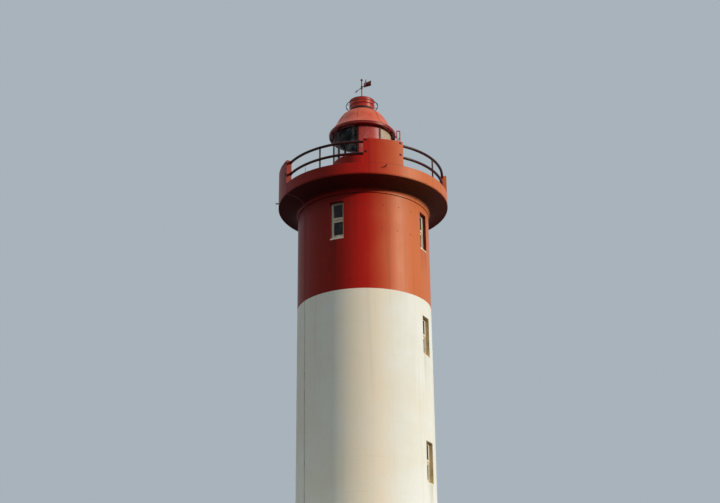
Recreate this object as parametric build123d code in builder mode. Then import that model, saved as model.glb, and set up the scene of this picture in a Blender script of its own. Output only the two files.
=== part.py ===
"""Round coastal lighthouse of painted concrete, with a railed gallery, a glazed lantern and a wind vane.

Millimetres, +Z up, origin at the tower's centre on the ground. A bearing is an angle in degrees, seen
from above, counter-clockwise from the front (-Y): 0 is the front, 90 the right side (+X), 180 the back.
"""

import os
from math import asin, atan2, ceil, cos, degrees, radians, sin

from build123d import *

os.makedirs("parts", exist_ok=True)

# Tower wall: one cylinder, white below the paint line and red above it
TOWER_RADIUS = 2500.0
WALL_THICKNESS = 300.0
PAINT_LINE = 11000.0
WALL_TOP = 14750.0
GROUND_SLAB = 200.0

# Floors inside the tower, each with its rim housed in the wall
FIRST_FLOOR = 3300.0
SECOND_FLOOR = 7950.0
FLOOR_THICKNESS = 180.0
FLOOR_BEARING = 100.0
HATCH_SIDE = 600.0
HATCH_OFFSET = 650.0

# Sash windows
WINDOW_WIDTH = 540.0
WINDOW_HEIGHT = 1500.0
WINDOW_SILL_LEVEL = 915.0
TOP_WINDOW_DROP = 255.0
WINDOW_RECESS = 150.0
FRAME_DEPTH = 90.0
STILE_WIDTH = 85.0
HEAD_RAIL = 75.0
MEETING_RAIL = 172.0
BOTTOM_RAIL = 225.0
SASH_STEP = 25.0
SILL_FRONT = 58.0
SILL_BACK = 85.0
SILL_SETBACK = 20.0
SASH_BORDER = 30.0
PANE_THICKNESS = 6.0
COLUMN_BEARING = 64.0
TOP_ROOM_BEARINGS = (COLUMN_BEARING, 157.0, 243.0, 337.0)

# Entrance at the foot of the tower
DOOR_BEARING = 180.0
DOOR_WIDTH = 950.0
DOOR_HEIGHT = 2050.0
DOOR_RECESS = 120.0
DOOR_FRAME = 75.0
DOOR_LEAF = 50.0
DOOR_FIELD_DEPTH = 12.0

# Gallery: cove below, slab, kerb, raised parapet panels and railings
JOINT_HEIGHT = 25.0
JOINT_DEPTH = 20.0
COVE_START = 20.0
COVE_RISE = 395.0
GALLERY_OVERHANG = 760.0
RIM_LEDGE = 60.0
LIP_HEIGHT = 18.0
DRIP_HEIGHT = 22.0
DRIP_DEPTH = 15.0
GALLERY_SLAB = 250.0
KERB_THICKNESS = 240.0
KERB_HEIGHT = 170.0
ARRIS = 12.0
PANEL_THICKNESS = 205.0
PANEL_HEIGHT = 990.0
PANEL_BEARINGS = ((0.5, 27.5), (90.0, 146.0), (242.0, 298.0))
RAIL_DIAMETER = 60.0
TOP_RAIL_DROP = 60.0
LOWER_RAIL_HEIGHT = 450.0
RAIL_PLATE_RADIUS = 52.0
RAIL_PLATE_THICKNESS = 10.0
POST_DIAMETER = 48.0
POST_SPACING = 1750.0
POST_FLANGE_RADIUS = 60.0
POST_FLANGE_THICKNESS = 12.0
FLANGE_MARGIN = 5.0
DRAIN_BEARINGS = (15.0, 107.0, 195.0, 270.0)
DRAIN_RADIUS = 23.0
DRAIN_BORE = 18.0
DRAIN_REACH = 130.0
DRAIN_HEIGHT = 40.0
AERIAL_BEARING = 228.0
AERIAL_RADIUS = 9.0
AERIAL_HEIGHT = 2640.0
AERIAL_SOCKET_RADIUS = 26.0
AERIAL_SOCKET_HEIGHT = 120.0
AERIAL_SETBACK = 100.0

# Lantern: base wall, sill, eight curved panes between bars, eave and roof
LANTERN_RADIUS = 1190.0
LANTERN_WALL = 80.0
LANTERN_WALL_HEIGHT = 1540.0
HATCH_DOOR_BEARING = 180.0
HATCH_DOOR_WIDTH = 600.0
HATCH_DOOR_HEAD = 80.0
HATCH_DOOR_THRESHOLD = 60.0
HATCH_DOOR_THICKNESS = 40.0
SILL_RING_HEIGHT = 60.0
SILL_RING_PROJECTION = 14.0
GLAZING_HEIGHT = 1250.0
GLAZING_SETBACK = 30.0
GLASS_THICKNESS = 10.0
PANE_COUNT = 8
FIRST_BAR_BEARING = -8.0
BLANKED_PANES = (0, 1)
BAR_WIDTH = 50.0
BAR_DEPTH = 60.0
BAR_PROUD = 14.0
BLANK_SHEET = 4.0
BLANK_SETBACK = 12.0
EAVE_OVERHANG = 150.0
EAVE_PLATE = 30.0
EAVE_HEIGHT = 110.0
EAVE_FASCIA = 20.0
ROOF_SHEET = 12.0
ROOF_RISE = 990.0
ROOF_CURVE = ((0.0, 0.0), (0.074, 0.081), (0.27, 0.303), (0.445, 0.586), (0.64, 0.808), (1.0, 1.0))
ROOF_CROWN_WIDTH = 50.0
ROOF_COLLAR_WIDTH = 30.0
ROOF_COLLAR_HEIGHT = 30.0
SEAM_WIDTH = 24.0
SEAM_HEIGHT = 14.0

# Ventilator cap on the roof, spindle and wind vane
NECK_SETBACK = 70.0
NECK_HEIGHT = 50.0
DRUM_RADIUS = 490.0
DRUM_HEIGHT = 430.0
DRUM_BAND_HEIGHT = 22.0
DRUM_BAND_LEVEL = 200.0
DRUM_BAND_PROJECTION = 12.0
CAP_SHEET = 10.0
LID_OVERHANG = 12.0
LID_EDGE = 16.0
LID_RISE = 70.0
HOOP_STANDOFF = 140.0
HOOP_BAR = 14.0
HOOP_LEVEL = 250.0
HOOP_BRACKETS = 8
BRACKET_WIDTH = 10.0
BRACKET_HEIGHT = 18.0
SPINDLE_RADIUS = 20.0
SPINDLE_FLANGE_RADIUS = 85.0
SPINDLE_FLANGE_HEIGHT = 18.0
COLLAR_RADIUS = 34.0
COLLAR_HEIGHT = 14.0
SPINDLE_HEIGHT = 994.0
VANE_HEIGHT = 604.0
BALL_RADIUS = 48.0
HUB_RADIUS = 34.0
HUB_HEIGHT = 120.0
VANE_BAR_RADIUS = 11.0
ARROW_BEARING = 213.8
ARROW_BAR_LENGTH = 320.0
ARROW_HEAD_LENGTH = 170.0
ARROW_HEAD_WIDTH = 150.0
TAIL_SPLAY = 20.0
TAIL_BAR_LENGTH = 220.0
TAIL_LENGTH = 300.0
TAIL_HEIGHT = 200.0
TAIL_NOTCH = 60.0
VANE_PLATE = 8.0

# Ladder on the lantern
LADDER_BEARING = 100.0
LADDER_STANDOFF = 300.0
LADDER_WIDTH = 560.0
LADDER_STILE = 20.0
LADDER_RUNG = 12.0
LADDER_OVER_EAVE = 120.0
LADDER_BEND = 150.0
LADDER_REACH = 150.0
RUNG_SPACING = 290.0
LOWER_STAY = 400.0
UPPER_STAY_DROP = 140.0

# Clearances: curved faces that meet, joinery in its opening, and the vane's running fit
SEAT_GAP = 0.3
JOINERY_GAP = 2.0
RUNNING_GAP = 0.4

# Levels and radii that follow from the sizes above
INNER_RADIUS = TOWER_RADIUS - WALL_THICKNESS
LEDGE_RADIUS = INNER_RADIUS + FLOOR_BEARING
THIRD_FLOOR = WALL_TOP - TOP_WINDOW_DROP - WINDOW_HEIGHT - WINDOW_SILL_LEVEL
GALLERY_RADIUS = TOWER_RADIUS + GALLERY_OVERHANG
COVE_REACH = GALLERY_OVERHANG - COVE_START - RIM_LEDGE
COVE_TOP = WALL_TOP + JOINT_HEIGHT + COVE_RISE
SLAB_UNDERSIDE = COVE_TOP + LIP_HEIGHT + DRIP_HEIGHT
GALLERY_FLOOR = SLAB_UNDERSIDE + GALLERY_SLAB
KERB_TOP = GALLERY_FLOOR + KERB_HEIGHT
KERB_INNER = GALLERY_RADIUS - KERB_THICKNESS
PANEL_INNER = GALLERY_RADIUS - PANEL_THICKNESS
RAIL_RADIUS = KERB_INNER + POST_FLANGE_RADIUS + FLANGE_MARGIN
TOP_RAIL_HEIGHT = PANEL_HEIGHT - TOP_RAIL_DROP
GLAZING_RADIUS = LANTERN_RADIUS - GLAZING_SETBACK
EAVE_RADIUS = GLAZING_RADIUS + EAVE_OVERHANG
BASE_TOP = GALLERY_FLOOR + LANTERN_WALL_HEIGHT
GLAZING_FOOT = BASE_TOP + SILL_RING_HEIGHT
GLAZING_TOP = GLAZING_FOOT + GLAZING_HEIGHT
ROOF_FOOT = GLAZING_TOP + EAVE_HEIGHT
NECK_RADIUS = DRUM_RADIUS - NECK_SETBACK
ROOF_COLLAR_RADIUS = NECK_RADIUS + ROOF_COLLAR_WIDTH
ROOF_CROWN_RADIUS = ROOF_COLLAR_RADIUS + ROOF_CROWN_WIDTH
ROOF_TOP = ROOF_FOOT + ROOF_RISE + ROOF_COLLAR_HEIGHT
DRUM_FOOT = ROOF_TOP + NECK_HEIGHT
DRUM_TOP = DRUM_FOOT + DRUM_HEIGHT
LID_TOP = DRUM_TOP + LID_EDGE + LID_RISE
HOOP_RADIUS = DRUM_RADIUS + HOOP_STANDOFF
VANE_LEVEL = LID_TOP + VANE_HEIGHT
TOTAL_HEIGHT = LID_TOP + SPINDLE_HEIGHT
LADDER_RADIUS = LANTERN_RADIUS + LADDER_STANDOFF
LADDER_SHOULDER = ROOF_FOOT - GALLERY_FLOOR + LADDER_OVER_EAVE
STAY_HEIGHTS = (LOWER_STAY, LANTERN_WALL_HEIGHT - UPPER_STAY_DROP)
PANE_ARC = 360.0 / PANE_COUNT
WINDOWS = [(COLUMN_BEARING, FIRST_FLOOR), (COLUMN_BEARING, SECOND_FLOOR)]
WINDOWS += [(bearing, THIRD_FLOOR) for bearing in TOP_ROOM_BEARINGS]
CUT_MARGIN = 60.0


def out_at(bearing):
    """Unit vector that points away from the tower's axis at a bearing."""
    angle = radians(bearing - 90)
    return Vector(cos(angle), sin(angle), 0)


def radial_plane(bearing):
    """Upright plane through the tower's axis: x runs outward at the bearing and y runs up."""
    outward = out_at(bearing)
    return Plane(origin=(0, 0, 0), x_dir=outward, z_dir=outward.cross(Vector(0, 0, 1)))


def facing_plane(bearing, radius, level):
    """Upright plane square to the bearing at a radius and a level: x runs round the tower and y runs up."""
    outward = out_at(bearing)
    return Plane(origin=outward * radius + Vector(0, 0, level), x_dir=out_at(bearing + 90), z_dir=outward)


def window_centre(floor):
    """Level of the middle of a window that belongs to the room on a floor."""
    return floor + WINDOW_SILL_LEVEL + WINDOW_HEIGHT / 2


# Tower wall, in four lifts of three curved segments
LIFTS = {
    "ground": (0.0, FIRST_FLOOR),
    "lower": (FIRST_FLOOR, SECOND_FLOOR),
    "upper": (SECOND_FLOOR, PAINT_LINE),
    "red": (PAINT_LINE, WALL_TOP),
}
SEGMENTS = {"front": -100.0, "right": 20.0, "back": 140.0}
SEGMENT_ARC = 360.0 / len(SEGMENTS)


def lies_on(bearing, start, arc):
    """True where a bearing lies on the arc that begins at a start bearing."""
    return (bearing - start) % 360 < arc


for lift, (foot, top) in LIFTS.items():
    for side, start in SEGMENTS.items():
        with BuildPart() as wall:
            with BuildSketch(radial_plane(start)):
                with Locations((TOWER_RADIUS - WALL_THICKNESS / 2, (foot + top) / 2)):
                    Rectangle(WALL_THICKNESS, top - foot)
                for floor in (FIRST_FLOOR, SECOND_FLOOR, THIRD_FLOOR):
                    if foot < floor and floor - FLOOR_THICKNESS < top:
                        with Locations((INNER_RADIUS + FLOOR_BEARING / 2, floor - FLOOR_THICKNESS / 2)):
                            Rectangle(FLOOR_BEARING, FLOOR_THICKNESS, mode=Mode.SUBTRACT)
            revolve(axis=Axis.Z, revolution_arc=SEGMENT_ARC)
            for bearing, floor in WINDOWS:
                sill = floor + WINDOW_SILL_LEVEL
                if sill < top and foot < sill + WINDOW_HEIGHT and lies_on(bearing, start, SEGMENT_ARC):
                    with BuildSketch(facing_plane(bearing, TOWER_RADIUS + CUT_MARGIN, window_centre(floor))):
                        Rectangle(WINDOW_WIDTH, WINDOW_HEIGHT)
                    extrude(amount=-(WALL_THICKNESS + 2 * CUT_MARGIN), mode=Mode.SUBTRACT)
            if lift == "ground" and lies_on(DOOR_BEARING, start, SEGMENT_ARC):
                with BuildSketch(facing_plane(DOOR_BEARING, TOWER_RADIUS + CUT_MARGIN, GROUND_SLAB + DOOR_HEIGHT / 2)):
                    Rectangle(DOOR_WIDTH, DOOR_HEIGHT)
                extrude(amount=-(WALL_THICKNESS + 3 * CUT_MARGIN), mode=Mode.SUBTRACT)
        wall.part.label = f"{lift}_wall_{side}"
        export_step(wall.part, f"parts/{lift}_wall_{side}.step")

# Ground slab, inside the walls
with BuildPart() as ground_slab:
    with BuildSketch():
        Circle(INNER_RADIUS - SEAT_GAP)
    extrude(amount=GROUND_SLAB)
ground_slab.part.label = "ground_slab"
export_step(ground_slab.part, "parts/ground_slab.step")

# Room floors with a hatch, housed in the wall
for label, level in (("first_floor", FIRST_FLOOR), ("second_floor", SECOND_FLOOR), ("third_floor", THIRD_FLOOR)):
    with BuildPart() as floor_slab:
        with BuildSketch(Plane.XY.offset(level - FLOOR_THICKNESS)):
            Circle(LEDGE_RADIUS - SEAT_GAP)
            with Locations((0, HATCH_OFFSET)):
                Rectangle(HATCH_SIDE, HATCH_SIDE, mode=Mode.SUBTRACT)
        extrude(amount=FLOOR_THICKNESS)
    floor_slab.part.label = label
    export_step(floor_slab.part, f"parts/{label}.step")

# Window frames: a fixed outer frame and two sashes, the lower one set back by a step
PANE_WIDTH = WINDOW_WIDTH - 2 * STILE_WIDTH
PANE_HEIGHT = (WINDOW_HEIGHT - HEAD_RAIL - MEETING_RAIL - BOTTOM_RAIL) / 2
UPPER_PANE_CENTRE = WINDOW_HEIGHT / 2 - HEAD_RAIL - PANE_HEIGHT / 2
LOWER_PANE_CENTRE = BOTTOM_RAIL + PANE_HEIGHT / 2 - WINDOW_HEIGHT / 2
FRAME_FACE = TOWER_RADIUS - WINDOW_RECESS
FRAME_WIDTH = WINDOW_WIDTH - 2 * JOINERY_GAP
FRAME_HEIGHT = WINDOW_HEIGHT - JOINERY_GAP

with BuildPart() as window_frames:
    for bearing, floor in WINDOWS:
        middle = window_centre(floor)
        window_foot = middle - WINDOW_HEIGHT / 2
        with BuildSketch(facing_plane(bearing, FRAME_FACE, middle)):
            with Locations((0, -JOINERY_GAP / 2)):
                Rectangle(FRAME_WIDTH, FRAME_HEIGHT)
            with Locations((0, UPPER_PANE_CENTRE), (0, LOWER_PANE_CENTRE)):
                Rectangle(PANE_WIDTH, PANE_HEIGHT, mode=Mode.SUBTRACT)
        extrude(amount=-FRAME_DEPTH)
        sash_foot = SILL_BACK - WINDOW_HEIGHT / 2
        sash_head = LOWER_PANE_CENTRE + PANE_HEIGHT / 2 + MEETING_RAIL / 2
        with BuildSketch(facing_plane(bearing, FRAME_FACE, middle)):
            with Locations((0, (sash_foot + sash_head) / 2)):
                Rectangle(PANE_WIDTH + 2 * SASH_BORDER, sash_head - sash_foot)
        extrude(amount=-SASH_STEP, mode=Mode.SUBTRACT)
        with BuildSketch(radial_plane(bearing)):
            with BuildLine():
                Polyline(
                    (FRAME_FACE, window_foot),
                    (TOWER_RADIUS - SILL_SETBACK, window_foot),
                    (TOWER_RADIUS - SILL_SETBACK, window_foot + SILL_FRONT),
                    (FRAME_FACE, window_foot + SILL_BACK),
                    close=True,
                )
            make_face()
        extrude(amount=FRAME_WIDTH / 2, both=True)
window_frames.part.label = "window_frames"
export_step(window_frames.part, "parts/window_frames.step")

with BuildPart() as window_panes:
    for bearing, floor in WINDOWS:
        upper_depth = FRAME_DEPTH / 3
        for centre, depth in ((UPPER_PANE_CENTRE, upper_depth), (LOWER_PANE_CENTRE, upper_depth + SASH_STEP)):
            with BuildSketch(facing_plane(bearing, FRAME_FACE - depth, window_centre(floor) + centre)):
                Rectangle(PANE_WIDTH, PANE_HEIGHT)
            extrude(amount=-PANE_THICKNESS)
window_panes.part.label = "window_panes"
export_step(window_panes.part, "parts/window_panes.step")

# Entrance frame and its panelled leaf
DOOR_FACE = TOWER_RADIUS - DOOR_RECESS
LEAF_WIDTH = DOOR_WIDTH - 2 * (DOOR_FRAME + JOINERY_GAP)
LEAF_HEIGHT = DOOR_HEIGHT - DOOR_FRAME - 2 * JOINERY_GAP
LEAF_BORDER = 110.0
FIELD_WIDTH = LEAF_WIDTH - 2 * LEAF_BORDER
FIELD_HEIGHT = (LEAF_HEIGHT - 3 * LEAF_BORDER) / 2

with BuildPart() as entrance_frame:
    with BuildSketch(facing_plane(DOOR_BEARING, DOOR_FACE, GROUND_SLAB)):
        with Locations((0, (DOOR_HEIGHT - JOINERY_GAP) / 2)):
            Rectangle(DOOR_WIDTH - 2 * JOINERY_GAP, DOOR_HEIGHT - JOINERY_GAP)
        with Locations((0, (DOOR_HEIGHT - DOOR_FRAME) / 2)):
            Rectangle(DOOR_WIDTH - 2 * DOOR_FRAME, DOOR_HEIGHT - DOOR_FRAME, mode=Mode.SUBTRACT)
    extrude(amount=-FRAME_DEPTH)
entrance_frame.part.label = "entrance_frame"
export_step(entrance_frame.part, "parts/entrance_frame.step")

with BuildPart() as entrance_door:
    with BuildSketch(facing_plane(DOOR_BEARING, DOOR_FACE - SASH_STEP, GROUND_SLAB)):
        with Locations((0, LEAF_HEIGHT / 2)):
            Rectangle(LEAF_WIDTH, LEAF_HEIGHT)
    extrude(amount=-DOOR_LEAF)
    with BuildSketch(facing_plane(DOOR_BEARING, DOOR_FACE - SASH_STEP, GROUND_SLAB + LEAF_HEIGHT / 2)):
        with GridLocations(0, FIELD_HEIGHT + LEAF_BORDER, 1, 2):
            Rectangle(FIELD_WIDTH, FIELD_HEIGHT)
    extrude(amount=-DOOR_FIELD_DEPTH, mode=Mode.SUBTRACT)
entrance_door.part.label = "entrance_door"
export_step(entrance_door.part, "parts/entrance_door.step")

# Cove under the gallery: a shadow joint, a quarter-ellipse sweep, then a lip with a drip groove over it
with BuildPart() as gallery_cove:
    with BuildSketch(radial_plane(0)):
        with BuildLine():
            joint_top = WALL_TOP + JOINT_HEIGHT
            cove_foot = TOWER_RADIUS + COVE_START
            cove_rim = cove_foot + COVE_REACH
            lip_top = COVE_TOP + LIP_HEIGHT
            Polyline(
                (cove_foot, joint_top),
                (TOWER_RADIUS - JOINT_DEPTH, joint_top),
                (TOWER_RADIUS - JOINT_DEPTH, WALL_TOP),
                (INNER_RADIUS, WALL_TOP),
                (INNER_RADIUS, SLAB_UNDERSIDE),
                (GALLERY_RADIUS - DRIP_DEPTH, SLAB_UNDERSIDE),
                (GALLERY_RADIUS - DRIP_DEPTH, lip_top),
                (GALLERY_RADIUS, lip_top),
                (GALLERY_RADIUS, COVE_TOP),
                (cove_rim, COVE_TOP),
            )
            EllipticalCenterArc((cove_rim, joint_top), COVE_REACH, COVE_RISE, start_angle=90, arc_size=90)
        make_face()
    revolve(axis=Axis.Z)
gallery_cove.part.label = "gallery_cove"
export_step(gallery_cove.part, "parts/gallery_cove.step")

# Gallery slab with the hatch that leads up into the lantern
with BuildPart() as gallery_slab:
    with BuildSketch(Plane.XY.offset(SLAB_UNDERSIDE)):
        Circle(GALLERY_RADIUS)
        with Locations((0, HATCH_OFFSET)):
            Rectangle(HATCH_SIDE, HATCH_SIDE, mode=Mode.SUBTRACT)
    extrude(amount=GALLERY_SLAB)
gallery_slab.part.label = "gallery_slab"
export_step(gallery_slab.part, "parts/gallery_slab.step")

# Kerb round the gallery, with worn arrises, bored for the drain pipes
with BuildPart() as gallery_kerb:
    with BuildSketch(radial_plane(0)):
        with BuildLine():
            Polyline(
                (KERB_INNER, GALLERY_FLOOR),
                (GALLERY_RADIUS, GALLERY_FLOOR),
                (GALLERY_RADIUS, KERB_TOP),
                (KERB_INNER + ARRIS, KERB_TOP),
                (KERB_INNER, KERB_TOP - ARRIS),
                close=True,
            )
        make_face()
    revolve(axis=Axis.Z)
    for bearing in DRAIN_BEARINGS:
        with BuildSketch(facing_plane(bearing, KERB_INNER - CUT_MARGIN, GALLERY_FLOOR + DRAIN_HEIGHT)):
            Circle(DRAIN_RADIUS + SEAT_GAP)
        extrude(amount=KERB_THICKNESS + 2 * CUT_MARGIN, mode=Mode.SUBTRACT)
gallery_kerb.part.label = "gallery_kerb"
export_step(gallery_kerb.part, "parts/gallery_kerb.step")

# Drain pipes through the kerb
with BuildPart() as drain_pipes:
    for bearing in DRAIN_BEARINGS:
        with BuildSketch(facing_plane(bearing, KERB_INNER, GALLERY_FLOOR + DRAIN_HEIGHT)):
            Circle(DRAIN_RADIUS)
            Circle(DRAIN_BORE, mode=Mode.SUBTRACT)
        extrude(amount=KERB_THICKNESS + DRAIN_REACH)
drain_pipes.part.label = "drain_pipes"
export_step(drain_pipes.part, "parts/drain_pipes.step")

# Raised parapet panels on the kerb, with their top arrises taken off
PANEL_TOP = KERB_TOP + PANEL_HEIGHT
with BuildPart() as parapet_panels:
    for start, end in PANEL_BEARINGS:
        with BuildSketch(radial_plane(start)):
            with BuildLine():
                Polyline(
                    (PANEL_INNER, KERB_TOP),
                    (GALLERY_RADIUS, KERB_TOP),
                    (GALLERY_RADIUS, PANEL_TOP - ARRIS),
                    (GALLERY_RADIUS - ARRIS, PANEL_TOP),
                    (PANEL_INNER + ARRIS, PANEL_TOP),
                    (PANEL_INNER, PANEL_TOP - ARRIS),
                    close=True,
                )
            make_face()
        revolve(axis=Axis.Z, revolution_arc=end - start)
parapet_panels.part.label = "parapet_panels"
export_step(parapet_panels.part, "parts/parapet_panels.step")

# Railings: two bent rails between plates on the panels' ends, carried by flanged posts
BAYS = {
    "railing_right": (PANEL_BEARINGS[0][1], PANEL_BEARINGS[1][0]),
    "railing_back": (PANEL_BEARINGS[1][1], PANEL_BEARINGS[2][0]),
    "railing_left": (PANEL_BEARINGS[2][1], PANEL_BEARINGS[0][0] + 360),
}
RAIL_CENTRES = [(RAIL_RADIUS, KERB_TOP + TOP_RAIL_HEIGHT), (RAIL_RADIUS, KERB_TOP + LOWER_RAIL_HEIGHT)]

for label, (start, end) in BAYS.items():
    posts = ceil(radians(end - start) * RAIL_RADIUS / POST_SPACING) - 1
    with BuildPart() as railing:
        with BuildSketch(radial_plane(start)):
            with Locations(*RAIL_CENTRES):
                Circle(RAIL_DIAMETER / 2)
        revolve(axis=Axis.Z, revolution_arc=end - start)
        for bearing, thickness in ((start, -RAIL_PLATE_THICKNESS), (end, RAIL_PLATE_THICKNESS)):
            with BuildSketch(radial_plane(bearing)):
                with Locations(*RAIL_CENTRES):
                    Circle(RAIL_PLATE_RADIUS)
            extrude(amount=thickness)
        for post in range(posts):
            foot = out_at(start + (end - start) * (post + 1) / (posts + 1)) * RAIL_RADIUS
            with BuildSketch(Plane.XY.offset(KERB_TOP)):
                with Locations((foot.X, foot.Y)):
                    Circle(POST_DIAMETER / 2)
            extrude(amount=TOP_RAIL_HEIGHT)
            with BuildSketch(Plane.XY.offset(KERB_TOP)):
                with Locations((foot.X, foot.Y)):
                    Circle(POST_FLANGE_RADIUS)
            extrude(amount=POST_FLANGE_THICKNESS)
    railing.part.label = label
    export_step(railing.part, f"parts/{label}.step")

# Aerial rod in a socket on the kerb
AERIAL_FOOT = out_at(AERIAL_BEARING) * (GALLERY_RADIUS - AERIAL_SETBACK)
with BuildPart() as aerial_rod:
    with BuildSketch(Plane.XY.offset(KERB_TOP)):
        with Locations((AERIAL_FOOT.X, AERIAL_FOOT.Y)):
            Circle(AERIAL_SOCKET_RADIUS)
    extrude(amount=AERIAL_SOCKET_HEIGHT)
    with BuildSketch(Plane.XY.offset(KERB_TOP)):
        with Locations((AERIAL_FOOT.X, AERIAL_FOOT.Y)):
            Circle(AERIAL_RADIUS)
    extrude(amount=AERIAL_HEIGHT)
aerial_rod.part.label = "aerial_rod"
export_step(aerial_rod.part, "parts/aerial_rod.step")

# Lantern base wall with the doorway to the gallery
HATCH_DOOR_HEIGHT = LANTERN_WALL_HEIGHT - HATCH_DOOR_THRESHOLD - HATCH_DOOR_HEAD
HATCH_DOOR_CENTRE = GALLERY_FLOOR + HATCH_DOOR_THRESHOLD + HATCH_DOOR_HEIGHT / 2
with BuildPart() as lantern_base:
    with BuildSketch(Plane.XY.offset(GALLERY_FLOOR)):
        Circle(LANTERN_RADIUS)
        Circle(LANTERN_RADIUS - LANTERN_WALL, mode=Mode.SUBTRACT)
    extrude(amount=LANTERN_WALL_HEIGHT)
    with BuildSketch(facing_plane(HATCH_DOOR_BEARING, LANTERN_RADIUS / 2, HATCH_DOOR_CENTRE)):
        Rectangle(HATCH_DOOR_WIDTH, HATCH_DOOR_HEIGHT)
    extrude(amount=LANTERN_RADIUS, mode=Mode.SUBTRACT)
lantern_base.part.label = "lantern_base"
export_step(lantern_base.part, "parts/lantern_base.step")

# Curved leaf that closes the doorway to the gallery
HATCH_LEAF_WIDTH = HATCH_DOOR_WIDTH - 2 * JOINERY_GAP
HATCH_LEAF_HEIGHT = HATCH_DOOR_HEIGHT - JOINERY_GAP
with BuildPart() as gallery_door:
    with BuildSketch(Plane.XY.offset(GALLERY_FLOOR + HATCH_DOOR_THRESHOLD)):
        Circle(LANTERN_RADIUS - HATCH_DOOR_THICKNESS / 2)
        Circle(LANTERN_RADIUS - 3 * HATCH_DOOR_THICKNESS / 2, mode=Mode.SUBTRACT)
    extrude(amount=HATCH_LEAF_HEIGHT)
    leaf_plane = facing_plane(HATCH_DOOR_BEARING, LANTERN_RADIUS / 2, HATCH_DOOR_CENTRE)
    with BuildSketch(leaf_plane):
        Rectangle(HATCH_LEAF_WIDTH, 2 * HATCH_DOOR_HEIGHT)
    extrude(amount=LANTERN_RADIUS, mode=Mode.INTERSECT)
gallery_door.part.label = "gallery_door"
export_step(gallery_door.part, "parts/gallery_door.step")

# Sill ring under the glazing, with a drip edge on each side
with BuildPart() as lantern_sill:
    with BuildSketch(radial_plane(0)):
        outer_edge = LANTERN_RADIUS + SILL_RING_PROJECTION
        inner_edge = LANTERN_RADIUS - LANTERN_WALL - SILL_RING_PROJECTION
        with BuildLine():
            Polyline(
                (inner_edge, BASE_TOP),
                (outer_edge, BASE_TOP),
                (outer_edge, BASE_TOP + SILL_RING_HEIGHT / 2),
                (GLAZING_RADIUS + BAR_PROUD, GLAZING_FOOT),
                (inner_edge, GLAZING_FOOT),
                close=True,
            )
        make_face()
    revolve(axis=Axis.Z)
lantern_sill.part.label = "lantern_sill"
export_step(lantern_sill.part, "parts/lantern_sill.step")

# Upright glazing bars
BAR_BEARINGS = [FIRST_BAR_BEARING + PANE_ARC * index for index in range(PANE_COUNT)]
with BuildPart() as glazing_bars:
    for bearing in BAR_BEARINGS:
        with BuildSketch(facing_plane(bearing, GLAZING_RADIUS + BAR_PROUD, GLAZING_FOOT)):
            with Locations((0, GLAZING_HEIGHT / 2)):
                Rectangle(BAR_WIDTH, GLAZING_HEIGHT)
        extrude(amount=-BAR_DEPTH)
glazing_bars.part.label = "glazing_bars"
export_step(glazing_bars.part, "parts/glazing_bars.step")

# Curved panes between the bars
BAR_HALF_ARC = degrees(asin((BAR_WIDTH / 2 + SEAT_GAP) / (GLAZING_RADIUS - GLASS_THICKNESS)))
with BuildPart() as lantern_glass:
    for bearing in BAR_BEARINGS:
        with BuildSketch(radial_plane(bearing + BAR_HALF_ARC)):
            with Locations((GLAZING_RADIUS - GLASS_THICKNESS / 2, GLAZING_FOOT + GLAZING_HEIGHT / 2)):
                Rectangle(GLASS_THICKNESS, GLAZING_HEIGHT)
        revolve(axis=Axis.Z, revolution_arc=PANE_ARC - 2 * BAR_HALF_ARC)
lantern_glass.part.label = "lantern_glass"
export_step(lantern_glass.part, "parts/lantern_glass.step")

# Sheets that blank the light on the front and right front panes, just inside the glass
BLANK_RADIUS = GLAZING_RADIUS - GLASS_THICKNESS - BLANK_SETBACK
BLANK_HALF_ARC = degrees(asin((BAR_WIDTH / 2 + SEAT_GAP) / (BLANK_RADIUS - BLANK_SHEET)))
with BuildPart() as blanking_sheet:
    for pane in BLANKED_PANES:
        with BuildSketch(radial_plane(BAR_BEARINGS[pane] + BLANK_HALF_ARC)):
            with Locations((BLANK_RADIUS - BLANK_SHEET / 2, GLAZING_FOOT + GLAZING_HEIGHT / 2)):
                Rectangle(BLANK_SHEET, GLAZING_HEIGHT)
        revolve(axis=Axis.Z, revolution_arc=PANE_ARC - 2 * BLANK_HALF_ARC)
blanking_sheet.part.label = "blanking_sheet"
export_step(blanking_sheet.part, "parts/blanking_sheet.step")

# Eave ring over the glazing: a flat soffit plate with an upstanding fascia
with BuildPart() as eave_ring:
    with BuildSketch(radial_plane(0)):
        with BuildLine():
            plate_inner = GLAZING_RADIUS + BAR_PROUD - BAR_DEPTH
            fascia_foot = GLAZING_TOP + EAVE_PLATE / 2
            Polyline(
                (plate_inner, GLAZING_TOP),
                (EAVE_RADIUS - EAVE_FASCIA, GLAZING_TOP),
                (EAVE_RADIUS, fascia_foot),
                (EAVE_RADIUS, ROOF_FOOT),
                (EAVE_RADIUS - EAVE_FASCIA, ROOF_FOOT),
                (EAVE_RADIUS - EAVE_FASCIA, GLAZING_TOP + EAVE_PLATE),
                (plate_inner, GLAZING_TOP + EAVE_PLATE),
                close=True,
            )
        make_face()
    revolve(axis=Axis.Z)
eave_ring.part.label = "eave_ring"
export_step(eave_ring.part, "parts/eave_ring.step")


def roof_points(shift):
    """Points of the roof's bell curve on a radial plane, from the eave to the crown, moved outward."""
    width = EAVE_RADIUS - ROOF_CROWN_RADIUS
    return [(EAVE_RADIUS - share * width + shift, ROOF_FOOT + rise * ROOF_RISE) for share, rise in ROOF_CURVE]


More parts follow.
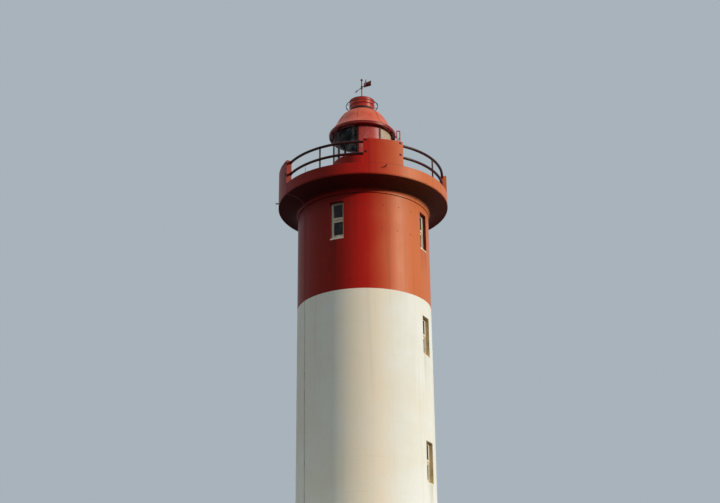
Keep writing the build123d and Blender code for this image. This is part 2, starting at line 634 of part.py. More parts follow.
# Roof: a sheet shell on a flared bell curve, with a collar at the top and a seam over each glazing bar
with BuildPart() as lantern_roof:
    with BuildSketch(radial_plane(0)):
        outer = roof_points(0)
        inner = roof_points(-ROOF_SHEET)
        collar_inner = NECK_RADIUS - CAP_SHEET
        collar_foot = ROOF_TOP - ROOF_COLLAR_HEIGHT
        with BuildLine():
            Spline(*outer)
            Polyline(
                outer[-1],
                (ROOF_COLLAR_RADIUS, collar_foot + ROOF_SHEET),
                (ROOF_COLLAR_RADIUS, ROOF_TOP),
                (collar_inner, ROOF_TOP),
                (collar_inner, collar_foot),
                inner[-1],
            )
            Spline(*reversed(inner))
            Line(inner[0], outer[0])
        make_face()
    revolve(axis=Axis.Z)
    for bearing in BAR_BEARINGS:
        with BuildSketch(radial_plane(bearing)):
            raised = roof_points(SEAM_HEIGHT)[1:]
            sunk = roof_points(-ROOF_SHEET / 2)[1:]
            with BuildLine():
                Spline(*raised)
                Line(raised[-1], sunk[-1])
                Spline(*reversed(sunk))
                Line(sunk[0], raised[0])
            make_face()
        extrude(amount=SEAM_WIDTH / 2, both=True)
lantern_roof.part.label = "lantern_roof"
export_step(lantern_roof.part, "parts/lantern_roof.step")

# Ventilator drum on its neck, with a raised band round it
with BuildPart() as ventilator_drum:
    with BuildSketch(radial_plane(0)):
        with BuildLine():
            band_foot = DRUM_FOOT + DRUM_BAND_LEVEL
            band_top = band_foot + DRUM_BAND_HEIGHT
            band_radius = DRUM_RADIUS + DRUM_BAND_PROJECTION
            Polyline(
                (NECK_RADIUS - CAP_SHEET, ROOF_TOP),
                (NECK_RADIUS, ROOF_TOP),
                (NECK_RADIUS, DRUM_FOOT),
                (DRUM_RADIUS, DRUM_FOOT),
                (DRUM_RADIUS, band_foot),
                (band_radius, band_foot),
                (band_radius, band_top),
                (DRUM_RADIUS, band_top),
                (DRUM_RADIUS, DRUM_TOP),
                (DRUM_RADIUS - CAP_SHEET, DRUM_TOP),
                (DRUM_RADIUS - CAP_SHEET, DRUM_FOOT + CAP_SHEET),
                (NECK_RADIUS - CAP_SHEET, DRUM_FOOT + CAP_SHEET),
                close=True,
            )
        make_face()
    revolve(axis=Axis.Z)
ventilator_drum.part.label = "ventilator_drum"
export_step(ventilator_drum.part, "parts/ventilator_drum.step")

# Low conical lid of the ventilator
with BuildPart() as ventilator_lid:
    with BuildSketch(radial_plane(0)):
        lid_edge = DRUM_RADIUS + LID_OVERHANG
        with BuildLine():
            Polyline(
                (0, DRUM_TOP),
                (lid_edge, DRUM_TOP),
                (lid_edge, DRUM_TOP + LID_EDGE),
                (SPINDLE_FLANGE_RADIUS, LID_TOP),
                (0, LID_TOP),
                close=True,
            )
        make_face()
    revolve(axis=Axis.Z)
ventilator_lid.part.label = "ventilator_lid"
export_step(ventilator_lid.part, "parts/ventilator_lid.step")

# Hoop round the drum, held off it by short brackets
with BuildPart() as ventilator_hoop:
    with BuildSketch(radial_plane(0)):
        with Locations((HOOP_RADIUS, DRUM_FOOT + HOOP_LEVEL)):
            Circle(HOOP_BAR)
    revolve(axis=Axis.Z)
    for index in range(HOOP_BRACKETS):
        bracket_foot = DRUM_RADIUS + SEAT_GAP
        bracket_bearing = FIRST_BAR_BEARING + PANE_ARC / 2 + index * 360 / HOOP_BRACKETS
        with BuildSketch(facing_plane(bracket_bearing, bracket_foot, DRUM_FOOT + HOOP_LEVEL)):
            Rectangle(BRACKET_WIDTH, BRACKET_HEIGHT)
        extrude(amount=HOOP_RADIUS - bracket_foot)
ventilator_hoop.part.label = "ventilator_hoop"
export_step(ventilator_hoop.part, "parts/ventilator_hoop.step")

# Spindle with its foot flange, the collar that carries the vane, and the ball on top
HUB_FOOT = VANE_LEVEL - HUB_HEIGHT / 2
with BuildPart() as spindle:
    with BuildSketch(radial_plane(0)):
        ball_centre = TOTAL_HEIGHT - BALL_RADIUS
        collar_top = HUB_FOOT - RUNNING_GAP
        with BuildLine():
            ball_foot = ball_centre - (BALL_RADIUS**2 - SPINDLE_RADIUS**2) ** 0.5
            Polyline(
                (0, TOTAL_HEIGHT),
                (0, LID_TOP),
                (SPINDLE_FLANGE_RADIUS, LID_TOP),
                (SPINDLE_FLANGE_RADIUS, LID_TOP + SPINDLE_FLANGE_HEIGHT),
                (SPINDLE_RADIUS, LID_TOP + SPINDLE_FLANGE_HEIGHT),
                (SPINDLE_RADIUS, collar_top - COLLAR_HEIGHT),
                (COLLAR_RADIUS, collar_top - COLLAR_HEIGHT),
                (COLLAR_RADIUS, collar_top),
                (SPINDLE_RADIUS, collar_top),
                (SPINDLE_RADIUS, ball_foot),
            )
            ball_start = degrees(atan2(ball_foot - ball_centre, SPINDLE_RADIUS))
            CenterArc((0, ball_centre), BALL_RADIUS, ball_start, 90 - ball_start)
        make_face()
    revolve(axis=Axis.Z)
spindle.part.label = "spindle"
export_step(spindle.part, "parts/spindle.step")

# Wind vane: a hub that turns on the spindle, with one bar to the arrow and two to the tail
TAIL_BEARINGS = (ARROW_BEARING + 180 - TAIL_SPLAY, ARROW_BEARING + 180 + TAIL_SPLAY)
VANE_BARS = ((ARROW_BEARING, ARROW_BAR_LENGTH), (TAIL_BEARINGS[0], TAIL_BAR_LENGTH), (TAIL_BEARINGS[1], TAIL_BAR_LENGTH))
with BuildPart() as vane_hub:
    with BuildSketch(Plane.XY.offset(HUB_FOOT)):
        Circle(HUB_RADIUS)
    extrude(amount=HUB_HEIGHT)
    for bearing, length in VANE_BARS:
        with BuildSketch(facing_plane(bearing, SPINDLE_RADIUS, VANE_LEVEL)):
            Circle(VANE_BAR_RADIUS)
        extrude(amount=length - SPINDLE_RADIUS)
    with BuildSketch(Plane.XY.offset(HUB_FOOT)):
        Circle(SPINDLE_RADIUS + RUNNING_GAP)
    extrude(amount=HUB_HEIGHT, mode=Mode.SUBTRACT)
vane_hub.part.label = "vane_hub"
export_step(vane_hub.part, "parts/vane_hub.step")

with BuildPart() as vane_arrow:
    with BuildSketch(radial_plane(ARROW_BEARING)):
        with BuildLine():
            Polyline(
                (ARROW_BAR_LENGTH, VANE_LEVEL - ARROW_HEAD_WIDTH / 2),
                (ARROW_BAR_LENGTH + ARROW_HEAD_LENGTH, VANE_LEVEL),
                (ARROW_BAR_LENGTH, VANE_LEVEL + ARROW_HEAD_WIDTH / 2),
                close=True,
            )
        make_face()
    extrude(amount=VANE_PLATE / 2, both=True)
vane_arrow.part.label = "vane_arrow"
export_step(vane_arrow.part, "parts/vane_arrow.step")

with BuildPart() as vane_tail:
    for bearing in TAIL_BEARINGS:
        with BuildSketch(radial_plane(bearing)):
            tail_end = TAIL_BAR_LENGTH + TAIL_LENGTH
            with BuildLine():
                Polyline(
                    (TAIL_BAR_LENGTH, VANE_LEVEL - TAIL_HEIGHT / 2),
                    (tail_end, VANE_LEVEL - TAIL_HEIGHT / 2),
                    (tail_end - TAIL_NOTCH, VANE_LEVEL),
                    (tail_end, VANE_LEVEL + TAIL_HEIGHT / 2),
                    (TAIL_BAR_LENGTH, VANE_LEVEL + TAIL_HEIGHT / 2),
                    close=True,
                )
            make_face()
        extrude(amount=VANE_PLATE / 2, both=True)
vane_tail.part.label = "vane_tail"
export_step(vane_tail.part, "parts/vane_tail.step")

# Ladder from the gallery to the roof: bent stiles, rungs and stays to the lantern wall
LADDER_HALF_ARC = degrees(asin(LADDER_WIDTH / 2 / LADDER_RADIUS))
STILE_BEARINGS = (LADDER_BEARING - LADDER_HALF_ARC, LADDER_BEARING + LADDER_HALF_ARC)
LADDER_PLANE_RADIUS = LADDER_RADIUS * cos(radians(LADDER_HALF_ARC))
RUNG_COUNT = int(LADDER_SHOULDER // RUNG_SPACING)
with BuildPart() as lantern_ladder:
    for bearing in STILE_BEARINGS:
        with BuildLine(radial_plane(bearing)) as stile_path:
            shoulder = GALLERY_FLOOR + LADDER_SHOULDER
            reach = LADDER_RADIUS - LADDER_BEND
            Line((LADDER_RADIUS, GALLERY_FLOOR), (LADDER_RADIUS, shoulder))
            CenterArc((reach, shoulder), LADDER_BEND, 0, 90)
            Line((reach, shoulder + LADDER_BEND), (reach - LADDER_REACH, shoulder + LADDER_BEND))
        stile_foot = out_at(bearing) * LADDER_RADIUS + Vector(0, 0, GALLERY_FLOOR)
        with BuildSketch(Plane(origin=stile_foot, z_dir=(0, 0, 1))):
            Circle(LADDER_STILE)
        sweep(path=stile_path.wires()[0])
        for height in STAY_HEIGHTS:
            with BuildSketch(facing_plane(bearing, LANTERN_RADIUS + SEAT_GAP, GALLERY_FLOOR + height)):
                Circle(LADDER_RUNG)
            extrude(amount=LADDER_RADIUS - LANTERN_RADIUS - SEAT_GAP)
    for rung in range(RUNG_COUNT):
        rung_level = GALLERY_FLOOR + (rung + 1) * RUNG_SPACING
        side_plane = Plane(
            origin=out_at(LADDER_BEARING) * LADDER_PLANE_RADIUS + Vector(0, 0, rung_level),
            z_dir=out_at(LADDER_BEARING + 90),
        )
        with BuildSketch(side_plane):
            Circle(LADDER_RUNG)
        extrude(amount=LADDER_WIDTH / 2, both=True)
lantern_ladder.part.label = "lantern_ladder"
export_step(lantern_ladder.part, "parts/lantern_ladder.step")
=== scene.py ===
"""Looks of the lighthouse: finishes for every part of the frame, its small fittings, light and camera.

Metres, +Z up. A bearing is an angle in degrees, seen from above, counter-clockwise from the front (-Y):
0 is the front, 90 the right side (+X), 180 the back.
"""

import logging
from collections.abc import Sequence
from dataclasses import dataclass, field, replace
from enum import Enum
from functools import cache
from math import cos, degrees, pi, radians, sin
from typing import Union

import bpy
import numpy as np
from mathutils import Matrix, Vector
from mathutils.bvhtree import BVHTree


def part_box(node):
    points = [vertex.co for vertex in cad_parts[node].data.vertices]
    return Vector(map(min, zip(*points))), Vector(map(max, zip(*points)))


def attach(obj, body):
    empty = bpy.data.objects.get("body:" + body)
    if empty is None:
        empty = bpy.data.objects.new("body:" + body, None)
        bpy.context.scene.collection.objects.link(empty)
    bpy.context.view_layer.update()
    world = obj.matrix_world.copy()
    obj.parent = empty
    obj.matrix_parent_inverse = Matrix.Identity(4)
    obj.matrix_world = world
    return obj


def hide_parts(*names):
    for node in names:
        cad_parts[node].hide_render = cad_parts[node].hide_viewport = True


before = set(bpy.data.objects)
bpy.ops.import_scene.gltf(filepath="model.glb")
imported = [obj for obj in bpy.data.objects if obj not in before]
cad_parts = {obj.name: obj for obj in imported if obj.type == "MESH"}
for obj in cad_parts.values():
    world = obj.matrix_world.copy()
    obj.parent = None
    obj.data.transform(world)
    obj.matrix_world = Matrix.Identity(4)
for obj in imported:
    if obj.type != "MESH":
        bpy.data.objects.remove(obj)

LOG = logging.getLogger("lighthouse")
Colour = tuple[float, float, float]
Floats = Sequence[float]
Outline = Sequence[tuple[float, float]]
Socket = bpy.types.NodeSocket
Material = bpy.types.Material
Value = Union["Signal", float]

# Faces of the tower's wall
TOWER_RADIUS = 2.5
INNER_RADIUS = 2.2

# Levels and radii read from the frame
PAINT_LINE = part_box("red_wall_front")[0].z
WALL_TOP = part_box("red_wall_front")[1].z
COVE_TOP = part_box("gallery_slab")[0].z - 0.04
GALLERY_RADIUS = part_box("gallery_cove")[1].x
GALLERY_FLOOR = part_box("gallery_slab")[1].z
KERB_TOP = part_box("gallery_kerb")[1].z
LANTERN_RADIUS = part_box("lantern_base")[1].x
BASE_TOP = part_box("lantern_base")[1].z
GLAZING_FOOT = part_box("glazing_bars")[0].z
GLAZING_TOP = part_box("glazing_bars")[1].z
EAVE_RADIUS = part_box("eave_ring")[1].x
ROOF_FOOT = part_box("eave_ring")[1].z
ROOF_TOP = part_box("lantern_roof")[1].z
LID_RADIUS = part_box("ventilator_lid")[1].x
LID_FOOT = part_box("ventilator_lid")[0].z
LID_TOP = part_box("ventilator_lid")[1].z
HUB_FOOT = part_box("vane_hub")[0].z
HUB_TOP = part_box("vane_hub")[1].z

# How far a piece is sunk in what carries it, from a hair to a full millimetre
HAIR = 0.0002
SEAT = 0.0005
FINE = 0.001
# Bearing of the sun lamp; the walls' painted light and shade are laid out round it too
SUNNY_BEARING = 64.0
SHARP_ANGLE = 35.0
# No tint, or no stretch on any axis
EVEN = (1.0, 1.0, 1.0)
UP = np.array([0.0, 0.0, 1.0])


def srgb(red: int, green: int, blue: int) -> Colour:
    """Turns a colour in 8-bit display values into the linear values that shaders use.

    Args:
        red: Red from 0 to 255.
        green: Green from 0 to 255.
        blue: Blue from 0 to 255.

    Returns:
        The colour in linear values from 0 to 1.
    """
    shares = np.array([red, green, blue], float) / 255.0
    high = ((shares + 0.055) / 1.055) ** 2.4
    return tuple(float(value) for value in np.where(shares <= 0.04045, shares / 12.92, high))


class Body(Enum):
    """The two bodies of the frame."""

    TOWER = "tower"
    VANE = "vane"


class Slot(Enum):
    """The record's material slots, one on each finish."""

    WHITE = "white_wall"
    RED = "red_wall"
    RED_METAL = "red_metal"
    VANE = "vane_metal"
    ZINC = "galvanised"
    PIPE = "grey_pipe"
    CREAM = "cream_paint"
    DOOR = "door_paint"


class Signal:
    """A number that shader nodes work out. Python's operators on it add Math nodes."""

    def __init__(self, graph: "Graph", socket: Socket) -> None:
        """Keeps the socket and the graph that it stands in."""
        self.graph = graph
        self.socket = socket

    def math(self, operation: str, *others: Value) -> "Signal":
        """Adds a Math node of this number and others."""
        return self.graph.math(operation, self, *others)

    def __add__(self, other: Value) -> "Signal":
        """Sum."""
        return self.math("ADD", other)

    __radd__ = __add__

    def __sub__(self, other: Value) -> "Signal":
        """Difference."""
        return self.math("SUBTRACT", other)

    def __rsub__(self, other: Value) -> "Signal":
        """Difference with this number taken away."""
        return self.graph.math("SUBTRACT", other, self)

    def __mul__(self, other: Value) -> "Signal":
        """Product."""
        return self.math("MULTIPLY", other)

    __rmul__ = __mul__

    def __truediv__(self, other: Value) -> "Signal":
        """Quotient."""
        return self.math("DIVIDE", other)

    def __abs__(self) -> "Signal":
        """Size without its sign."""
        return self.math("ABSOLUTE")

    def most(self, other: Value) -> "Signal":
        """The larger of two numbers."""
        return self.math("MAXIMUM", other)

    def least(self, other: Value) -> "Signal":
        """The smaller of two numbers."""
        return self.math("MINIMUM", other)

    def rise(self, low: float, high: float) -> "Signal":
        """A soft step from 0 at one value to 1 at another, eased at both ends."""
        inputs = {"Value": self, "From Min": low, "From Max": high}
        return self.graph.signal("ShaderNodeMapRange", inputs, interpolation_type="SMOOTHSTEP")

    def fall(self, low: float, high: float) -> "Signal":
        """A soft step from 1 down to 0."""
        return 1.0 - self.rise(low, high)


class Graph:
    """The node graph of one material, or of the world."""

    def __init__(self, owner: "Material | bpy.types.World") -> None:
        """Starts the owner's graph with the place of the shaded point, or the world's direction.

        Args:
            owner: Material or world that the graph belongs to.
        """
        self.owner = owner
        owner.use_nodes = True
        self.tree = owner.node_tree
        self.tree.nodes.clear()
        self.place = self.node("ShaderNodeTexCoord", {})["Object"]
        split = self.node("ShaderNodeSeparateXYZ", {0: self.place})
        self.x, self.y, self.z = (Signal(self, socket) for socket in split)

    def node(self, kind: str, inputs: dict, **settings: object) -> bpy.types.NodeOutputs:
        """Adds a node.

        Args:
            kind: The node's type.
            inputs: Values or links of its sockets, by name or number.
            settings: Its settings, set first.

        Returns:
            The new node's outputs.
        """
        made = self.tree.nodes.new(kind)
        for key, value in settings.items():
            setattr(made, key, value)
        for key, value in inputs.items():
            value = value.socket if isinstance(value, Signal) else value
            if isinstance(value, Socket):
                self.tree.links.new(value, made.inputs[key])
            elif isinstance(value, tuple) and len(made.inputs[key].default_value) == 4:
                made.inputs[key].default_value = (*value, 1.0)
            else:
                made.inputs[key].default_value = value
        return made.outputs

    def signal(self, kind: str, inputs: dict, **settings: object) -> Signal:
        """Adds a node and wraps its first output."""
        return Signal(self, self.node(kind, inputs, **settings)[0])

    def math(self, operation: str, *values: Value) -> Signal:
        """Adds a Math node of an operation on some numbers."""
        return self.signal("ShaderNodeMath", dict(enumerate(values)), operation=operation)

    def noise(
        self, scale: float, detail: float = 4.0, rough: float = 0.55, drawn: Colour = EVEN
    ) -> Signal:
        """Cloudy noise over the piece's own coordinates.

        Args:
            scale: Cells for each metre.
            detail: Octaves.
            rough: Share that each octave keeps.
            drawn: Factor on each axis before the noise, small for a pattern drawn out along it.

        Returns:
            The noise, about 0.5 in the mean.
        """
        place = self.node("ShaderNodeMapping", {"Vector": self.place, "Scale": Vector(drawn)})[0]
        inputs = {"Vector": place, "Scale": scale, "Detail": detail, "Roughness": rough}
        return self.signal("ShaderNodeTexNoise", inputs)

    def cells(self, scale: float) -> Signal:
        """Distance to the nearest of many scattered points, in cells."""
        return self.signal("ShaderNodeTexVoronoi", {"Vector": self.place, "Scale": scale})

    def radius(self) -> Signal:
        """Distance from the tower's axis."""
        return (self.x * self.x + self.y * self.y).math("SQRT")

    def bearing(self) -> Signal:
        """Bearing in radians: the angle whose tangent is x over minus y."""
        return self.x.math("ARCTAN2", self.y * -1.0)

    def mix(self, share: Value, first: object, second: object) -> Socket:
        """Blends two colours by the share of the second."""
        return self.node("ShaderNodeMix", {0: share, 6: first, 7: second}, data_type="RGBA")[2]

    def bump(self, height: Signal, distance: float) -> Socket:
        """Turns a height, as a share of a distance in metres, into a bent normal."""
        return self.node("ShaderNodeBump", {"Distance": distance, "Height": height})[0]

    def surface(self, **inputs: object) -> Material:
        """Ends the graph with a Principled shader.

        Args:
            inputs: Its sockets, with underscores for spaces.

        Returns:
            The finished material.
        """
        named = {key.replace("_", " "): value for key, value in inputs.items()}
        shader = self.node("ShaderNodeBsdfPrincipled", named)[0]
        self.node("ShaderNodeOutputMaterial", {"Surface": shader})
        return self.owner


@dataclass(frozen=True)
class Finish:
    """A named surface finish, with the slot of the pieces that have it. Build makes its material."""

    name: str
    slot: Slot = field(default=Slot.RED_METAL, kw_only=True)

    def graph(self) -> Graph:
        """Starts the graph of a material with the finish's name."""
        return Graph(bpy.data.materials.new(self.name))


@dataclass(frozen=True)
class Stain:
    """A dirty run on the tower's face, below a sill."""

    bearing: float
    top: float
    length: float
    half_width: float = 0.34

    def mask(self, graph: Graph) -> Signal:
        """How dirty the run is: full at its top and on its line, fading down and to both sides.

        Args:
            graph: Graph that the run is drawn in.

        Returns:
            The mask from 0 to 1.
        """
        line = Vector((cos(radians(self.bearing)), sin(radians(self.bearing))))
        across = abs(graph.x * line.x + graph.y * line.y)
        facing_it = (graph.x * line.y - graph.y * line.x).rise(0.0, 0.5)
        inside = across.fall(self.half_width * 0.5, self.half_width) * facing_it
        below = graph.z.rise(self.top - self.length, self.top)
        return inside * below * graph.z.fall(self.top, self.top + 0.01)


@dataclass(frozen=True)
class MasonryPaint(Finish):
    """Masonry paint on cast concrete: cloudy colour, rain streaks, grain, and faint lines of the lifts.

    Painted sunlight, if given, is painted light: where the wall faces the sun it takes this colour, a painted
    highlight, and the paint turns from its own colour away from the sun to the faded one towards it, painted
    shade and light.
    The coat, on the sunny side only, is a painted sheen. Grazing light is a warm painted light between sun
    and shade, reveal the colour in the openings and inside the one past the inner radius. Cove shade gives
    the levels of a dark band of painted shade.
    """

    paint: Colour
    faded: Colour
    grime: Colour
    reveal: Colour
    inside: Colour
    roughness: float
    streaks: float
    grain: float
    lift: float = 1.22
    sheets: int = 13
    specular: float = 0.5
    tint: Colour = EVEN
    stains: tuple[Stain, ...] = ()
    inner_radius: float = 0.0
    # Colour painted where the wall faces the sun: painted light
    painted_sunlight: Colour | None = None
    # Warm tint painted between sun and shade: painted light
    grazing_light: Colour | None = None
    # Clear coat on the sunny side only: a painted sheen
    coat: float = 0.0
    # Levels of a dark band of painted shade on the cove
    cove_shade: tuple[float, float] | None = None

    def lines(self, graph: Graph) -> Signal:
        """Level and upright lines where the casting forms met."""
        upright = graph.bearing().math("PINGPONG", pi / self.sheets).fall(0.001, 0.005)
        return graph.z.math("PINGPONG", self.lift / 2).fall(0.003, 0.014).most(upright * 0.7)

    def sunny_side(self, graph: Graph, low: float, high: float) -> Signal:
        """How far the wall looks to the sunny side, with soft patches: the mask of the painted light and
        shade.

        Args:
            graph: Graph that it is worked out in.
            low: Cosine of the angle to the sunny side where the rise starts.
            high: Cosine where the rise ends.

        Returns:
            The rise from 0 to 1.
        """
        sun = Vector((sin(radians(SUNNY_BEARING)), -cos(radians(SUNNY_BEARING))))
        towards = (graph.x * sun.x + graph.y * sun.y) / graph.radius()
        return (towards + graph.noise(0.8, 4.0) * 0.16 - 0.08).rise(low, high)

    def build(self) -> Material:
        """Makes the material.

        Returns:
            The finished material.
        """
        graph = self.graph()
        cloud = graph.noise(0.45, 5.0, 0.6)
        patch = graph.noise(2.6, 4.0, 0.6)
        speck = graph.noise(52.0, 3.0, 0.6)
        rain = graph.noise(1.0, 6.0, 0.62, (7.0, 7.0, 0.16))
        lines = self.lines(graph) * patch.rise(0.40, 0.60)
        # With painted sunlight, the paint goes from its own colour away from the sun to the faded one towards
        # it: painted shade and light. Without it, the fading is cloudy wear.
        wear_and_sunlight = self.sunny_side(graph, -0.05, 0.48) if self.painted_sunlight else cloud.rise(0.38, 0.66)
        colour = graph.mix(wear_and_sunlight * 0.85 + cloud * 0.15, self.paint, self.faded)
        colour = graph.mix(patch.rise(0.5, 0.75) * 0.2, colour, self.faded)
        # Painted highlight: where the wall faces the sun it takes the sunlit colour
        sunny = self.sunny_side(graph, 0.42, 1.0)
        if self.painted_sunlight:
            colour = graph.mix(sunny, colour, self.painted_sunlight)
        # Painted light: a warm tint where the sun grazes the wall, between sun and shade
        if self.grazing_light:
            grazing_light = self.sunny_side(graph, -0.05, 0.35) * self.sunny_side(graph, 0.5, 0.95).fall(0.0, 1.0)
            colour = graph.mix(grazing_light * (patch * 0.4 + 0.55), colour, self.grazing_light)
        dirt = rain.rise(0.5, 0.78) * self.streaks + speck.rise(0.6, 0.85) * 0.08 + lines * 0.07
        for stain in self.stains:
            dirt = dirt + stain.mask(graph) * rain.rise(0.35, 0.7) * 0.5
        colour = graph.mix(dirt.least(0.85), colour, self.grime)
        if self.inner_radius:
            radius = graph.radius()
            reveal = graph.mix(patch.rise(0.45, 0.75) * 0.4, self.reveal, self.grime)
            colour = graph.mix(radius.fall(TOWER_RADIUS - 0.016, TOWER_RADIUS - 0.006) * 0.9, colour, reveal)
            outside = radius.rise(self.inner_radius + FINE, self.inner_radius + 4 * FINE)
            colour = graph.mix(outside, self.inside, colour)
        height = speck * 0.3 + graph.noise(13.0, 5.0, 0.62) * 0.5 + graph.noise(150.0, 2.0) * 0.12
        roughness = cloud * 0.12 + patch * 0.10 + (self.roughness - 0.11)
        # Painted shade: the cove darkens from just above its foot up to the slab, with rougher paint
        if self.cove_shade:
            low, high = self.cove_shade
            painted_shade = (graph.z + patch * 0.05 - 0.025).rise(low, low + 0.16) * graph.z.fall(high - 0.01, high)
            colour = graph.mix(painted_shade * 0.8, colour, COVE_SHADE_COLOUR)
            roughness = roughness + painted_shade * 0.4
        return graph.surface(
            Base_Color=colour,
            Roughness=roughness,
            Specular_IOR_Level=self.specular,
            Specular_Tint=self.tint,
            # Painted sheen: the clear coat lies only on the side that faces the sun
            Coat_Weight=sunny * self.coat,
            Coat_Roughness=self.roughness,
            Normal=graph.bump(height - lines * 0.25, self.grain),
        )


@dataclass(frozen=True)
class BareConcrete(Finish):
    """Trowelled concrete with fine pits."""

    pale: Colour
    dark: Colour

    def build(self) -> Material:
        """Makes the material.

        Returns:
            The finished material.
        """
        graph = self.graph()
        cloud = graph.noise(1.4, 6.0, 0.6)
        colour = graph.mix(cloud.rise(0.35, 0.68), self.pale, self.dark)
        height = graph.noise(60.0, 4.0) * 0.4 - graph.cells(34.0).fall(0.05, 0.16) * 0.6
        return graph.surface(
            Base_Color=colour,
            Roughness=cloud * 0.2 + 0.72,
            Normal=graph.bump(height, 0.003),
        )


@dataclass(frozen=True)
class MetalPaint(Finish):
    """Gloss paint on metal: fading, runs, chips down to rust and a brushed skin.

    Past the split bearing, if there is one, the paint is the second colour; on the blanking sheets that pale
    colour is a painted reflection on the glass in front.
    """

    paint: Colour
    faded: Colour
    rust: Colour = srgb(96, 44, 28)
    roughness: float = 0.38
    rusting: float = 1.0
    fading: float = 0.5
    scale: float = 1.0
    coat: float = 0.06
    specular: float = 0.4
    tint: Colour = (1.0, 0.86, 0.62)
    split: float = 0.0
    second: Colour = (0.0, 0.0, 0.0)

    def build(self) -> Material:
        """Makes the material.

        Returns:
            The finished material.
        """
        graph = self.graph()
        cloud = graph.noise(1.1 * self.scale, 5.0, 0.6)
        runs = graph.noise(2.2 * self.scale, 5.0, 0.6, (6.0, 6.0, 0.35))
        chips = graph.noise(24.0 * self.scale, 6.0, 0.68).rise(0.63, 0.70) * cloud.rise(0.5, 0.62)
        rusty = (chips * self.rusting).most(runs.rise(0.60, 0.78) * 0.35 * self.rusting)
        colour = graph.mix(cloud.rise(0.36, 0.66) * self.fading, self.paint, self.faded)
        if self.split:
            past = graph.bearing().rise(radians(self.split) - FINE, radians(self.split) + FINE)
            colour = graph.mix(past, colour, self.second)
        colour = graph.mix(runs.rise(0.42, 0.62) * 0.16, colour, self.faded)
        height = graph.noise(210.0, 2.0) * 0.12 + graph.noise(30.0, 4.0) * 0.22 - chips * 0.5
        return graph.surface(
            Base_Color=graph.mix(rusty, colour, self.rust),
            Roughness=cloud * 0.12 + rusty * 0.4 + (self.roughness - 0.06),
            Specular_IOR_Level=self.specular,
            Specular_Tint=self.tint,
            Coat_Weight=(1.0 - rusty) * self.coat,
            Coat_Roughness=0.3,
            Normal=graph.bump(height, 0.0012),
        )


@dataclass(frozen=True)
class JoineryPaint(Finish):
    """Gloss paint on wood: brush marks along the grain, hairline cracks and dirt in the corners."""

    paint: Colour
    aged: Colour
    bare: Colour
    roughness: float = 0.45

    def build(self) -> Material:
        """Makes the material.

        Returns:
            The finished material.
        """
        graph = self.graph()
        cloud = graph.noise(3.2, 5.0, 0.6)
        brush = graph.noise(1.0, 3.0, 0.6, (130.0, 130.0, 7.0))
        cracks = graph.noise(1.0, 6.0, 0.72, (44.0, 44.0, 3.0)).rise(0.66, 0.72) * cloud.rise(0.46, 0.6)
        colour = graph.mix(cloud.rise(0.36, 0.66) * 0.65, self.paint, self.aged)
        return graph.surface(
            Base_Color=graph.mix(cracks, colour, self.bare),
            Roughness=cloud * 0.14 + cracks * 0.3 + (self.roughness - 0.06),
            Normal=graph.bump(brush * 0.3 - cracks * 0.8, 0.0012),
        )


@dataclass(frozen=True)
class BareMetal(Finish):
    """Weathered bare metal, such as zinc or brass: spangle, tarnish and scratches."""

    bright: Colour
    tarnish: Colour
    roughness: float
    spangle: float = 60.0

    def build(self) -> Material:
        """Makes the material.

        Returns:
            The finished material.
        """
        graph = self.graph()
        grains = graph.cells(self.spangle)
        dull = graph.noise(6.0, 5.0, 0.62).rise(0.38, 0.64)
        return graph.surface(
            Base_Color=graph.mix(grains * 0.5 + dull * 0.6, self.bright, self.tarnish),
            Metallic=1.0 - dull * 0.45,
            Roughness=dull * 0.22 + grains * 0.12 + self.roughness,
            Normal=graph.bump(grains * 0.3 + graph.noise(160.0, 3.0) * 0.3, 0.0006),
        )


@dataclass(frozen=True)
class Filler(Finish):
    """A soft filler, lining or plastic, such as putty, sealant or a pipe, with dirt on it. The dark ceiling
    lining, and the black gauze and band under the ventilator's drum, are painted shade.
    """

    clean: Colour
    dirty: Colour
    roughness: float = 0.7
    scale: float = 9.0

    def build(self) -> Material:
        """Makes the material.

        Returns:
            The finished material.
        """
        graph = self.graph()
        cloud = graph.noise(self.scale, 5.0, 0.62)
        fine = graph.noise(self.scale * 14.0, 3.0)
        colour = graph.mix(cloud.rise(0.34, 0.68), self.clean, self.dirty)
        return graph.surface(
            Base_Color=graph.mix(fine.rise(0.58, 0.8) * 0.3, colour, self.dirty),
            Roughness=cloud * 0.16 + (self.roughness - 0.08),
            Normal=graph.bump(fine * 0.5 + cloud * 0.5, 0.0012),
        )


@dataclass(frozen=True)
class PaneGlass(Finish):
    """Thin clear glass that lets light through by its alpha, with a film of salt and dust."""

    tint: Colour
    film: Colour
    body: float
    dust: float

    def build(self) -> Material:
        """Makes the material.

        Returns:
            The finished material.
        """
        graph = self.graph()
        film = graph.noise(5.0, 5.0, 0.6, (1.0, 1.0, 0.5)).rise(0.45, 0.8)
        return graph.surface(
            Base_Color=graph.mix(film, self.tint, self.film),
            Roughness=film * 0.08 + 0.03,
            Alpha=film * self.dust + self.body,
            Normal=graph.bump(graph.noise(3.0, 2.0), 0.0006),
        )


@dataclass
class Patch:
    """A surface before it becomes a mesh: points, four-sided faces, and end caps as rings of points."""

    points: np.ndarray
    quads: np.ndarray
    caps: list[np.ndarray]

    def moved(self, across: float = 0.0, up: float = 0.0, out: float = 0.0) -> "Patch":
        """The surface moved along its own three axes."""
        return Patch(self.points + (across, up, out), self.quads, self.caps)


